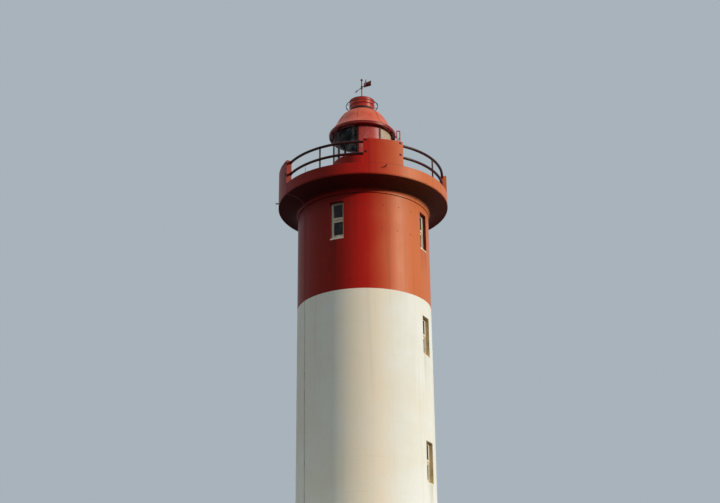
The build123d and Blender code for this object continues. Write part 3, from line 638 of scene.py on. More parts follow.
def grid(points: np.ndarray, ring: bool = False) -> Patch:
    """Makes a surface of rows of points: each face joins two neighbours on a row to the same two on the next.

    Args:
        points: Rows by columns by three. The columns run round the profile, clockwise as seen along the rows.
        ring: Whether the last row joins the first. If not, the first and last rows are capped by a face.

    Returns:
        The surface.
    """
    rows, columns = points.shape[:2]
    index = np.arange(rows * columns).reshape(rows, columns)
    lower, upper = (index, np.roll(index, -1, 0)) if ring else (index[:-1], index[1:])
    corners = (lower, np.roll(lower, -1, 1), np.roll(upper, -1, 1), upper)
    quads = np.stack([corner.ravel() for corner in corners], 1)
    caps = [] if ring else [index[0, ::-1].copy(), index[-1].copy()]
    return Patch(points.reshape(-1, 3).astype(float), quads, caps)


def join(patches: Sequence[Patch]) -> Patch:
    """Puts several surfaces in one, with their face numbers moved on.

    Args:
        patches: The surfaces.

    Returns:
        All of them as one.
    """
    starts = np.cumsum([0] + [len(patch.points) for patch in patches[:-1]])
    points = np.concatenate([patch.points for patch in patches])
    quads = np.concatenate([patch.quads + start for patch, start in zip(patches, starts)])
    caps = [cap + start for patch, start in zip(patches, starts) for cap in patch.caps]
    return Patch(points, quads, caps)


def place(patch: Patch, frames: np.ndarray) -> Patch:
    """Copies a surface to each frame: a point is carried along the frame's three axes from its origin.

    Args:
        patch: The surface about the origin.
        frames: Count by four by three: the x, y and z axes and the origin of each copy.

    Returns:
        All copies as one surface.
    """
    count, size = len(frames), len(patch.points)
    points = np.einsum("pa,fac->fpc", patch.points, frames[:, :3]) + frames[:, 3][:, None]
    starts = np.arange(count) * size
    quads = (patch.quads[None] + starts[:, None, None]).reshape(-1, 4)
    caps = [cap + start for start in starts for cap in patch.caps]
    return Patch(points.reshape(-1, 3), quads, caps)


def outward(bearings: "np.ndarray | float") -> np.ndarray:
    """Unit vectors away from the axis: sine of the bearing, minus its cosine, and no rise."""
    angles = np.radians(bearings)
    return np.stack([np.sin(angles), -np.cos(angles), np.zeros_like(angles)], -1)


def spread(first: float, count: int) -> np.ndarray:
    """Even bearings round the tower: the first plus whole steps of 360 over the count."""
    return first + np.arange(count) * 360.0 / count


def crossed(bearings: Floats, levels: Floats) -> tuple[np.ndarray, np.ndarray]:
    """Every bearing with every level, as two equally long lists."""
    pairs = np.meshgrid(np.asarray(bearings, float), np.asarray(levels, float))
    return pairs[0].ravel(), pairs[1].ravel()


def facing(bearings: Floats, radius: float, levels: Floats | float, across: float = 0.0) -> np.ndarray:
    """Frames on the tower's face: x runs round it, y up and z outward.

    Args:
        bearings: Bearing of each frame.
        radius: Distance of the origins from the axis.
        levels: Level of each origin, or one for all.
        across: Shift of the origins along x.

    Returns:
        Count by four by three.
    """
    bearings = np.asarray(bearings, float)
    side, out = outward(bearings + 90.0), outward(bearings)
    up = np.tile(UP, (len(bearings), 1))
    origins = out * radius + up * np.broadcast_to(levels, len(bearings))[:, None] + side * across
    return np.stack([side, up, out, origins], 1)


def standing(bearings: Floats, radius: float, levels: Floats | float) -> np.ndarray:
    """Frames on a level surface, with origins as for facing: x runs inward, y back round it and z up."""
    frames = facing(bearings, radius, levels)
    return np.stack([-frames[:, 2], -frames[:, 0], frames[:, 1], frames[:, 3]], 1)


def alongside(
    bearings: Floats, radius: float, levels: Floats | float, sense: float, along: float = 0.0
) -> np.ndarray:
    """Frames that look round the tower: z runs round it in the sense of 1 or -1, y up, moved on along z."""
    frames = facing(bearings, radius, levels, sense * along)
    return np.stack([frames[:, 2] * -sense, frames[:, 1], frames[:, 0] * sense, frames[:, 3]], 1)


def section(inner: float, outer: float, foot: float, top: float) -> np.ndarray:
    """Oblong outline between two radii and two levels, counter-clockwise."""
    return np.array([(inner, foot), (outer, foot), (outer, top), (inner, top)])


def lathe(profile: Outline, steps: int = 96, start: float = 0.0, arc: float = 360.0) -> Patch:
    """Turns a profile about the tower's axis: a point lies at its radius on each bearing, at its own level.

    Args:
        profile: Closed outline as radius and level, counter-clockwise with the radius to the right.
        steps: Number of bearings.
        start: First bearing.
        arc: Degrees turned, 360 for a full ring.

    Returns:
        The surface.
    """
    whole = arc >= 360.0
    bearings = start + np.linspace(0.0, arc, steps, endpoint=not whole)
    outline = np.asarray(profile, float)
    points = outward(bearings)[:, None] * outline[None, :, :1]
    points[..., 2] = outline[None, :, 1]
    return grid(points, ring=whole)


def sweep(path: Sequence[Sequence[float]], profile: np.ndarray, up: Floats = UP) -> Patch:
    """Carries a profile along a path: each row is the profile on two axes square to the path.

    Args:
        path: Points of the path.
        profile: Closed outline, counter-clockwise, across and along the second axis.
        up: Direction that the second axis leans to, not along the path.

    Returns:
        The surface.
    """
    path = np.asarray(path, float)
    along = np.gradient(path, axis=0)
    along /= np.linalg.norm(along, axis=1)[:, None]
    second = np.array(up) - along * (along @ np.array(up))[:, None]
    second /= np.linalg.norm(second, axis=1)[:, None]
    first = np.cross(along, second)
    points = path[:, None] + first[:, None] * profile[None, :, :1] + second[:, None] * profile[None, :, 1:]
    return grid(points[:, ::-1])


def disc(radius: float, sides: int) -> np.ndarray:
    """Outline of a circle, counter-clockwise: cosine and sine of even angles."""
    angles = np.arange(sides) * 2 * pi / sides
    return radius * np.stack([np.cos(angles), np.sin(angles)], 1)


def bead(radius: float, level: float, size: float) -> Patch:
    """A full ring of round section about the tower's axis: a circle turned at a radius and a level."""
    return lathe(disc(size, 10) + (radius, level), 120)


def oblong(width: float, height: float, arris: float) -> np.ndarray:
    """Outline of a rectangle with its corners cut: half sizes less the cut at each corner.

    Args:
        width: Size on the first axis.
        height: Size on the second axis.
        arris: Cut at each corner.

    Returns:
        Eight points, counter-clockwise.
    """
    x, y = width / 2, height / 2
    right = np.array([(x, arris - y), (x, y - arris), (x - arris, y), (arris - x, y)])
    return np.concatenate([right, -right])


def stacked(edges: np.ndarray, levels: Floats) -> np.ndarray:
    """Rows of points: each flat outline at its own level."""
    heights = np.broadcast_to(np.asarray(levels, float)[:, None, None], (*edges.shape[:2], 1))
    return np.concatenate([edges, heights], 2)


def turned(profile: Outline, sides: int = 16, radius: float = 0.0, ring: bool = False) -> Patch:
    """Turns a profile of distance past a radius and height about its own z axis. A ring has no caps."""
    radii, heights = (np.asarray(profile, float) + (radius, 0.0)).T
    return grid(stacked(radii[:, None, None] * disc(1.0, sides), heights), ring=ring)


def rod(radius: float, length: float, sides: int = 12) -> Patch:
    """A round rod from z 0 to its length."""
    return turned([(radius, 0.0), (radius, length)], sides)


def block(width: float, height: float, depth: float, arris: float = 0.002) -> Patch:
    """A block with cut edges from z 0 to its depth: inset, full, full and inset outlines in turn."""
    full, inset = oblong(width, height, arris), oblong(width - 2 * arris, height - 2 * arris, arris)
    return grid(stacked(np.stack([inset, full, full, inset]), (0.0, arris, depth - arris, depth)))


def slab(outline: Outline, thickness: float) -> Patch:
    """A flat plate of a counter-clockwise outline, half its thickness to each side of z 0."""
    return grid(stacked(np.stack([np.asarray(outline, float)] * 2), (-thickness / 2, thickness / 2)))


def bolt(radius: float, height: float) -> Patch:
    """A hexagon bolt head with a chamfered top on a round washer."""
    profiles = ([(1.45, 0.0), (1.45, 0.22), (1.3, 0.3)], 12), ([(1.0, 0.25), (1.0, 0.85), (0.8, 1.0)], 6)
    return join([turned(np.multiply(profile, (radius, height)), sides) for profile, sides in profiles])


def rivet(radius: float) -> Patch:
    """A round rivet head: a low dome whose rows follow a quarter circle."""
    angles = np.radians([0.0, 35.0, 65.0, 82.0])
    return turned(np.stack([radius * np.cos(angles), radius * 0.6 * np.sin(angles)], 1), 8)


def head_circle(head: Patch, radius: float, count: int) -> Patch:
    """Copies of a head round its own z axis, on a circle of a radius, from half a step on."""
    angles = (np.arange(count) + 0.5) * 2 * pi / count
    return join([head.moved(radius * cos(angle), radius * sin(angle)) for angle in angles])


def base_plate(head: Patch, radius: float) -> Patch:
    """A square plate with four bolts on a circle, standing from z 0."""
    return join([block(0.12, 0.12, 0.008), head_circle(head.moved(out=0.008 - SEAT), radius, 4)])


def sleeve(radius: float, proud: float, length: float) -> Patch:
    """A round sleeve with chamfered ends on a rod of a radius."""
    return turned([(0.0, 0.0), (proud, 0.004), (proud, length - 0.004), (0.0, length)], 16, radius)


def frame_band(width: float, height: float, profile: Outline) -> Patch:
    """A mitred band round a rectangle: each corner row is the profile, moved in from both edges alike.

    Args:
        width: Outer width.
        height: Outer height.
        profile: Closed outline as distance inward and outward height, clockwise.

    Returns:
        The surface.
    """
    inset, rise = np.asarray(profile, float).T
    rows = []
    for side_x, side_y in ((1, 1), (-1, 1), (-1, -1), (1, -1)):
        rows.append(np.stack([side_x * (width / 2 - inset), side_y * (height / 2 - inset), rise], 1))
    return grid(np.stack(rows), ring=True)


def sealant(width: float, height: float) -> Patch:
    """A band of sealant round a frame in its opening."""
    return frame_band(width + 0.002, height, [(0.0, 0.0), (0.0, 0.014), (0.012, 0.002), (0.012, 0.0)])


def seats(node: str, bearings: Floats, levels: Floats, reach: float, tilt: float) -> np.ndarray:
    """Frames where lines towards the axis meet a node: x runs round the tower and z out of the surface.

    Args:
        node: Name of the node.
        bearings: Bearing of each line.
        levels: Level where each line starts.
        reach: Radius where the lines start.
        tilt: Drop of the lines in degrees.

    Returns:
        Count by four by three.
    """
    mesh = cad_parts[node].data
    faces = [tuple(polygon.vertices) for polygon in mesh.polygons]
    tree = BVHTree.FromPolygons([vertex.co for vertex in mesh.vertices], faces)
    found = []
    for bearing, level in zip(bearings, levels):
        out, across = outward(bearing), outward(bearing + 90.0)
        ray = Vector(-out * cos(radians(tilt)) - UP * sin(radians(tilt)))
        spot, normal = (np.array(hit) for hit in tree.ray_cast(Vector(out * reach + UP * level), ray)[:2])
        found.append(np.stack([across, np.cross(normal, across), normal, spot]))
    return np.stack(found)


def linked(name: str, data: bpy.types.ID) -> bpy.types.Object:
    """Makes an object and puts it in the scene.

    Args:
        name: Name of the object.
        data: Its mesh, light or camera.

    Returns:
        The object.
    """
    made = bpy.data.objects.new(name, data)
    bpy.context.scene.collection.objects.link(made)
    return made


@cache
def material(finish: Finish) -> Material:
    """The material of a finish, built the first time that it is asked for."""
    return finish.build()


@dataclass
class Part:
    """A sub-assembly: it dresses its nodes of the frame and adds pieces to the body that it rides on."""

    body: Body = Body.TOWER

    def piece(
        self, name: str, patch: Patch, finish: Finish, instead: Sequence[str] = (), slot: Slot | None = None
    ) -> None:
        """Makes a mesh of a surface and puts it on the body.

        Args:
            name: Name of the piece.
            patch: Its surface, in the frame's place.
            finish: Its finish.
            instead: Nodes of the frame that it stands for.
            slot: Its record slot, where that isn't the finish's own. It is not used.
        """
        faces = patch.quads.tolist() + [cap.tolist() for cap in patch.caps]
        mesh = bpy.data.meshes.new(name)
        mesh.from_pydata(patch.points.tolist(), [], faces)
        mesh.shade_smooth()
        mesh.set_sharp_from_angle(angle=radians(SHARP_ANGLE))
        made = linked(name, mesh)
        mesh.materials.append(material(finish))
        body, slot = self.body, slot or finish.slot
        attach(made, body.value)
        if instead:
            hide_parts(*instead)
        LOG.info("%s: %d faces", name, len(mesh.polygons))

    def dress(self, finish: Finish, *names: str) -> None:
        """Gives nodes of the frame a finish.

        Args:
            finish: The finish.
            names: Names of the nodes.
        """
        for name in names:
            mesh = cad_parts[name].data
            mesh.materials.clear()
            mesh.materials.append(material(finish))
            LOG.info("%s dressed with %s", name, finish.name)


# Windows as bearing and level of the foot of the opening
ROOM_WINDOWS = ((64.0, 4.215), (64.0, 8.865))
TOP_WINDOWS = ((64.0, 12.995), (157.0, 12.995), (243.0, 12.995), (337.0, 12.995))

# Finishes
# Colour of the painted shade on the cove under the gallery
COVE_SHADE_COLOUR = srgb(30, 7, 7)
WHITEWASH = srgb(176, 174, 164)
WHITE_WALL = MasonryPaint(
    "white masonry paint",
    paint=srgb(227, 228, 221),
    faded=srgb(224, 220, 205),
    grime=srgb(150, 144, 124),
    reveal=srgb(224, 192, 130),
    inside=WHITEWASH,
    roughness=0.85,
    streaks=0.14,
    grain=0.008,
    specular=0.3,
    # Warm painted light between sun and shade
    grazing_light=srgb(240, 223, 196),
    stains=tuple(Stain(bearing, level, 1.5) for bearing, level in ROOM_WINDOWS),
    inner_radius=INNER_RADIUS,
    slot=Slot.WHITE,
)
# Painted light and shade: the red is darkest away from the sun, faded towards it and orange where it faces
# it, a painted highlight under a painted sheen
RED_WALL = MasonryPaint(
    "red masonry paint",
    paint=srgb(122, 9, 10),
    faded=srgb(184, 25, 20),
    grime=srgb(78, 14, 13),
    reveal=srgb(120, 24, 20),
    inside=WHITEWASH,
    roughness=0.41,
    streaks=0.25,
    grain=0.003,
    specular=0.14,
    tint=(1.0, 0.84, 0.58),
    painted_sunlight=srgb(200, 108, 64),
    coat=0.06,
    stains=tuple(Stain(bearing, level, 1.2) for bearing, level in TOP_WINDOWS),
    inner_radius=INNER_RADIUS,
    slot=Slot.RED,
)
RED_GALLERY = replace(
    RED_WALL,
    name="red gallery paint",
    # Painted shade: a dark band on the cove under the gallery
    cove_shade=(WALL_TOP + 0.05, COVE_TOP + 0.01),
    streaks=0.35,
    lift=9.0,
    sheets=24,
    stains=(),
    inner_radius=0.0,
)
CONCRETE = BareConcrete("trowelled concrete", srgb(168, 163, 154), srgb(128, 122, 112))
RED_METAL = MetalPaint("red gloss on steel", srgb(172, 28, 24), srgb(186, 46, 34))
# Dark red paint, made darker still as painted shade on the rails, glazing bars and hoop
RAIL_PAINT = MetalPaint(
    "dark red gloss on rails, darkened as painted shade", srgb(54, 8, 11), srgb(74, 14, 16), scale=2.0, rusting=0.6, specular=0.2
)
ROOF_PAINT = MetalPaint("faded red gloss on the roof", srgb(190, 62, 40), srgb(206, 104, 70), fading=0.8)
# Red made darker than the metal's as painted shade on the bars and the eave
BAR_PAINT = MetalPaint("red gloss on bars and eave, darkened as painted shade", srgb(122, 16, 18), srgb(142, 28, 26), specular=0.3)
LADDER_PAINT = MetalPaint("faded red gloss on the ladder", srgb(170, 70, 72), srgb(186, 104, 98), scale=2.0)
SHEET_PAINT_AND_REFLECTION = MetalPaint(
    "paint on the blanking sheets",
    srgb(196, 50, 38),
    srgb(200, 80, 60),
    rusting=0.4,
    # Past 37 degrees the sheet is pale: a painted reflection on the glass in front of it
    split=37.0,
    second=srgb(204, 186, 156),
    tint=EVEN,
)
VANE_PAINT = MetalPaint(
    "red gloss on the vane", srgb(98, 14, 16), srgb(122, 26, 24), scale=4.0, slot=Slot.VANE
)
CREAM = JoineryPaint(
    "cream gloss on joinery", srgb(228, 220, 200), srgb(216, 202, 172), srgb(122, 98, 72), slot=Slot.CREAM
)
DOOR_RED = JoineryPaint(
    "red gloss on the door", srgb(128, 26, 24), srgb(112, 26, 24), srgb(90, 66, 50), slot=Slot.DOOR
)
ZINC = BareMetal("weathered zinc", srgb(176, 178, 180), srgb(120, 121, 120), roughness=0.42, slot=Slot.ZINC)
BRASS = BareMetal(
    "aged brass", srgb(190, 150, 84), srgb(112, 84, 50), roughness=0.34, spangle=25.0, slot=Slot.CREAM
)
PIPE = Filler("weathered grey pipe", srgb(140, 134, 126), srgb(96, 82, 70), roughness=0.6, slot=Slot.PIPE)
SEALANT = Filler("grey sealant", srgb(118, 112, 104), srgb(78, 70, 62), slot=Slot.CREAM)
PUTTY = Filler("weathered putty", srgb(92, 90, 82), srgb(60, 56, 50), scale=16.0, slot=Slot.CREAM)
PLUG = Filler("dirty mortar plugs", srgb(120, 24, 20), srgb(76, 18, 16), scale=6.0, slot=Slot.RED)
# The strips' paint is darker than the wall's, so that each strip shows as a thin dark line
WHITE_STRIP = Filler(
    "darker white paint on the strip", srgb(192, 190, 176), srgb(150, 146, 130), scale=3.0, slot=Slot.WHITE
)
RED_STRIP = Filler(
    "darker red paint on the strip", srgb(124, 18, 16), srgb(92, 14, 13), scale=3.0, slot=Slot.RED
)
# Black gauze and band that stand for the shade under the ventilator's drum: painted shade
GAUZE_AND_SHADE = Filler("black gauze and painted shade", srgb(20, 17, 16), srgb(34, 26, 22), scale=60.0)
# A dark lining that stands for the shade inside the lantern's roof: painted shade
CEILING_SHADE = Filler("dark ceiling lining as painted shade", srgb(30, 50, 54), srgb(18, 30, 34), roughness=0.55, scale=3.0)
WINDOW_GLASS = PaneGlass("window glass", srgb(14, 20, 24), srgb(120, 112, 96), body=0.42, dust=0.25)
LANTERN_GLASS = PaneGlass("lantern glass", srgb(40, 58, 62), srgb(190, 192, 186), body=0.08, dust=0.12)


@dataclass
class Tower(Part):
    """The concrete tower: painted lifts, floors, and the fittings on its face."""

    strip_foot_bearing: float = -57.8
    strip_top_bearing: float = -61.0
    strip_width: float = 0.036
    strip_proud: float = 0.008
    saddle_spacing: float = 1.1
    rim_saddles: tuple[float, float] = (15.28, 15.56)
    cove_rim: float = 3.2
    cove_across: float = 0.68
    cove_up: float = 0.395
    plug_radius: float = 0.024
    plug_rows: tuple[tuple[float, float], ...] = ((3.8, 14.30), (-11.5, 13.35))
    plugs_around: int = 26
    plug_clearance: float = 9.0

    def strip_bearing(self, level: float) -> float:
        """Bearing of the conductor at a level: it leans a little, in a straight line from the wall's top."""
        share = 1.0 - min(level / WALL_TOP, 1.0)
        return self.strip_top_bearing + (self.strip_foot_bearing - self.strip_top_bearing) * share

    def conductor(self) -> None:
        """Lightning conductor: a painted strip from the kerb down over the rim, the cove and the wall.

        On the cove it follows the quarter ellipse: the rim less the cosine, and the foot plus the sine.
        """
        skin = self.strip_proud / 2 - FINE
        angles = np.radians(np.linspace(4.0, 88.0, 18))
        curve_r = self.cove_rim - (self.cove_across - skin) * np.cos(angles)
        curve_z = COVE_TOP - self.cove_up + (self.cove_up - skin) * np.sin(angles)
        rim, wall = GALLERY_RADIUS + skin, TOWER_RADIUS + skin
        lower = [(wall, z) for z in np.linspace(0.002, PAINT_LINE, 12)]
        upper = [(wall, z) for z in np.linspace(PAINT_LINE, WALL_TOP - 0.01, 5)] + list(zip(curve_r, curve_z))
        upper += [(rim - 0.012, COVE_TOP - skin), (rim, COVE_TOP + 0.008), (rim, KERB_TOP - 0.008)]
        upper += [(rim - 0.012, KERB_TOP + skin), (rim - 0.09, KERB_TOP + skin)]
        edge = oblong(self.strip_proud, self.strip_width, 0.0015)
        tangent = outward(self.strip_top_bearing + 90.0)
        screws = [rivet(0.007).moved(side * 0.028, 0.0, self.strip_proud + 0.003) for side in (-1, 1)]
        saddle = join([block(self.strip_width * 2.2, 0.022, self.strip_proud + 0.004), *screws])
        for name, path, foot, top, finish in (
            ("conductor_strip_white", lower, 0.0, PAINT_LINE, WHITE_STRIP),
            ("conductor_strip_red", upper, PAINT_LINE, WALL_TOP, RED_STRIP),
        ):
            count = int((top - foot) / self.saddle_spacing)
            levels = foot + (top - foot) * (np.arange(count) + 0.5) / count
            bearings = [self.strip_bearing(level) for level in levels]
            strip = sweep([outward(self.strip_bearing(z)) * r + UP * z for r, z in path], edge, tangent)
            parts = [strip, place(saddle, facing(bearings, TOWER_RADIUS - FINE, levels))]
            if finish is RED_STRIP:
                at_rim = facing([self.strip_top_bearing] * 2, rim - 0.004, self.rim_saddles)
                parts.append(place(saddle, at_rim))
            self.piece(name, join(parts), finish)

    def plugs(self) -> None:
        """Plugged tie holes of the casting forms, in level rows round the red lift, clear of the windows."""
        frames = []
        for first, level in self.plug_rows:
            bearings = spread(first, self.plugs_around)
            gaps = [abs((bearings - window + 180.0) % 360.0 - 180.0) for window, _ in TOP_WINDOWS]
            frames.append(facing(bearings[np.min(gaps, 0) > self.plug_clearance], TOWER_RADIUS, level))
        size = self.plug_radius
        plug = turned([(size, -0.004), (size, 0.001), (size * 0.8, 0.003), (size * 0.2, 0.0015)], 14)
        self.piece("tie_hole_plugs", place(plug, np.concatenate(frames)), PLUG)

    def build(self) -> None:
        """Finishes the tower and adds its fittings."""
        for lift in ("ground", "lower", "upper", "red"):
            for side in ("front", "right", "back"):
                self.dress(RED_WALL if lift == "red" else WHITE_WALL, f"{lift}_wall_{side}")
        self.dress(CONCRETE, "ground_slab", "first_floor", "second_floor", "third_floor")
        self.conductor()
        self.plugs()


@dataclass
class Windows(Part):
    """The six sash windows."""

    width: float = 0.54
    height: float = 1.5
    recess: float = 0.15
    stile: float = 0.085
    head_rail: float = 0.075
    meeting_rail: float = 0.172
    bottom_rail: float = 0.225
    sill: float = 0.085
    step: float = 0.025
    border: float = 0.03
    pane_depth: float = 0.03
    putty: float = 0.014

    def frames(self, across: float, up: float, depth: float) -> np.ndarray:
        """Frames at each window, at a place over its middle and a depth behind the frame's face."""
        bearings, feet = np.array(ROOM_WINDOWS + TOP_WINDOWS).T
        return facing(bearings, TOWER_RADIUS - self.recess - depth, feet + self.height / 2 + up, across)

    def build(self) -> None:
        """Finishes the frames and panes, and adds putty, mouldings, horns, lifts, a catch and sealant."""
        self.dress(CREAM, "window_frames")
        self.dress(WINDOW_GLASS, "window_panes")
        width = self.width - 2 * self.stile
        height = (self.height - self.head_rail - self.meeting_rail - self.bottom_rail) / 2
        upper = self.height / 2 - self.head_rail - height / 2
        lower = self.bottom_rail + height / 2 - self.height / 2
        meeting = lower + height / 2 + self.meeting_rail / 2
        wedge = frame_band(width, height, [(0.0, 0.0), (0.0, self.putty * 1.4), (self.putty, 0.0)])
        depth = self.pane_depth
        spots = [self.frames(0.0, upper, depth), self.frames(0.0, lower, depth + self.step)]
        self.piece("window_putty", place(wedge, np.concatenate(spots)), PUTTY)
        outline = [(0.0, 0.0), (0.004, 0.006), (0.014, 0.007), (0.022, 0.0)]
        ovolo = frame_band(width + 0.05, height + 0.05, outline)
        self.piece("sash_mouldings", place(ovolo, self.frames(0.0, upper, FINE)), CREAM)
        sash_foot = self.sill - self.height / 2
        sash_width, sash_height = width + 2 * self.border, meeting - sash_foot
        outline = [(0.0, 0.0), (0.003, 0.009), (0.012, 0.009), (0.015, 0.0)]
        stop = frame_band(sash_width + 0.03, sash_height + 0.03, outline)
        self.piece("sash_stops", place(stop, self.frames(0.0, (meeting + sash_foot) / 2, FINE)), CREAM)
        horn = slab([(0.034, 0.0), (0.0, 0.0), (0.0, -0.06), (0.012, -0.055), (0.030, -0.03)], 0.022)
        spots = [self.frames(side * (width / 2 + 0.004), meeting, self.step - 0.013) for side in (-1, 1)]
        self.piece("sash_horns", place(horn, np.concatenate(spots)), CREAM)
        low = lower - height / 2 - 0.03
        spots = [self.frames(side * width * 0.3, low, self.step + FINE) for side in (-1, 1)]
        lifts = place(block(0.07, 0.016, 0.018, 0.003), np.concatenate(spots))
        knob = turned([(0.012, 0.011), (0.012, 0.018), (0.006, 0.022)]).moved(0.01)
        catch = place(join([block(0.06, 0.022, 0.012), knob]), self.frames(0.0, meeting + 0.02, FINE))
        self.piece("sash_furniture", join([lifts, catch]), BRASS)
        seal = sealant(self.width, self.height)
        self.piece("window_sealant", place(seal, self.frames(0.0, 0.0, 0.0)), SEALANT)


@dataclass
class Entrance(Part):
    """The entrance door at the foot of the back, with its frame and furniture."""

    bearing: float = 180.0
    slab_top: float = 0.2
    width: float = 0.95
    height: float = 2.05
    frame_face: float = 2.38
    leaf_face: float = 2.355
    leaf_width: float = 0.796
    leaf_height: float = 1.971
    border: float = 0.11
    hinge_levels: tuple[float, ...] = (0.22, 1.0, 1.75)
    lever_level: float = 0.98

    def at(self, across: float, up: float, out: float = 0.0) -> np.ndarray:
        """One frame on the door's face, at a place across and up it."""
        return facing([self.bearing], self.leaf_face + out, self.slab_top + up, across)

    def build(self) -> None:
        """Finishes the frame and leaf, and adds mouldings, furniture, a weather bar and sealant."""
        self.dress(CREAM, "entrance_frame")
        self.dress(DOOR_RED, "entrance_door")
        width = self.leaf_width - 2 * self.border
        height = (self.leaf_height - 3 * self.border) / 2
        outline = [(0.0, -0.012), (0.0, 0.004), (0.012, 0.006), (0.026, -0.006), (0.03, -0.012)]
        centres = [self.leaf_height / 2 + side * (height + self.border) / 2 for side in (-1, 1)]
        mouldings = [place(frame_band(width, height, outline), self.at(0.0, up)) for up in centres]
        self.piece("entrance_mouldings", join(mouldings), DOOR_RED)
        raised = block(width - 0.12, height - 0.12, 0.011, 0.005)
        fields = [place(raised, self.at(0.0, up, -0.0125)) for up in centres]
        self.piece("entrance_fields", join(fields), DOOR_RED)
        barrel = sweep([[0.0, -0.05, 0.0], [0.0, 0.05, 0.0]], disc(0.009, 12), (1.0, 0.0, 0.0))
        hinge = join([barrel, block(0.05, 0.09, 0.004, 0.001).moved(0.028, 0.0, -0.001)])
        edge = -self.leaf_width / 2 - 0.002
        hinges = [place(hinge, self.at(edge, up, 0.003)) for up in self.hinge_levels]
        self.piece("entrance_hinges", join(hinges), BRASS, slot=Slot.DOOR)
        rose = turned([(0.014, 0.0), (0.014, 0.006), (0.009, 0.008), (0.009, 0.05)])
        bend = [[0.0, 0.0, 0.044], [-0.02, 0.0, 0.05], [-0.06, 0.0, 0.052], [-0.11, 0.0, 0.05]]
        handle = join([block(0.045, 0.2, 0.005, 0.0015), rose, sweep(bend, disc(0.009, 12), (0.0, 1.0, 0.0))])
        lever = place(handle, self.at(self.leaf_width / 2 - 0.055, self.lever_level))
        self.piece("entrance_lever", lever, BRASS, slot=Slot.DOOR)
        bar = block(self.leaf_width - 0.01, 0.05, 0.035, 0.012)
        self.piece("entrance_weather_bar", place(bar, self.at(0.0, 0.05)), DOOR_RED)
        middle = facing([self.bearing], self.frame_face, self.slab_top + self.height / 2)
        self.piece("entrance_sealant", place(sealant(self.width, self.height), middle), SEALANT)


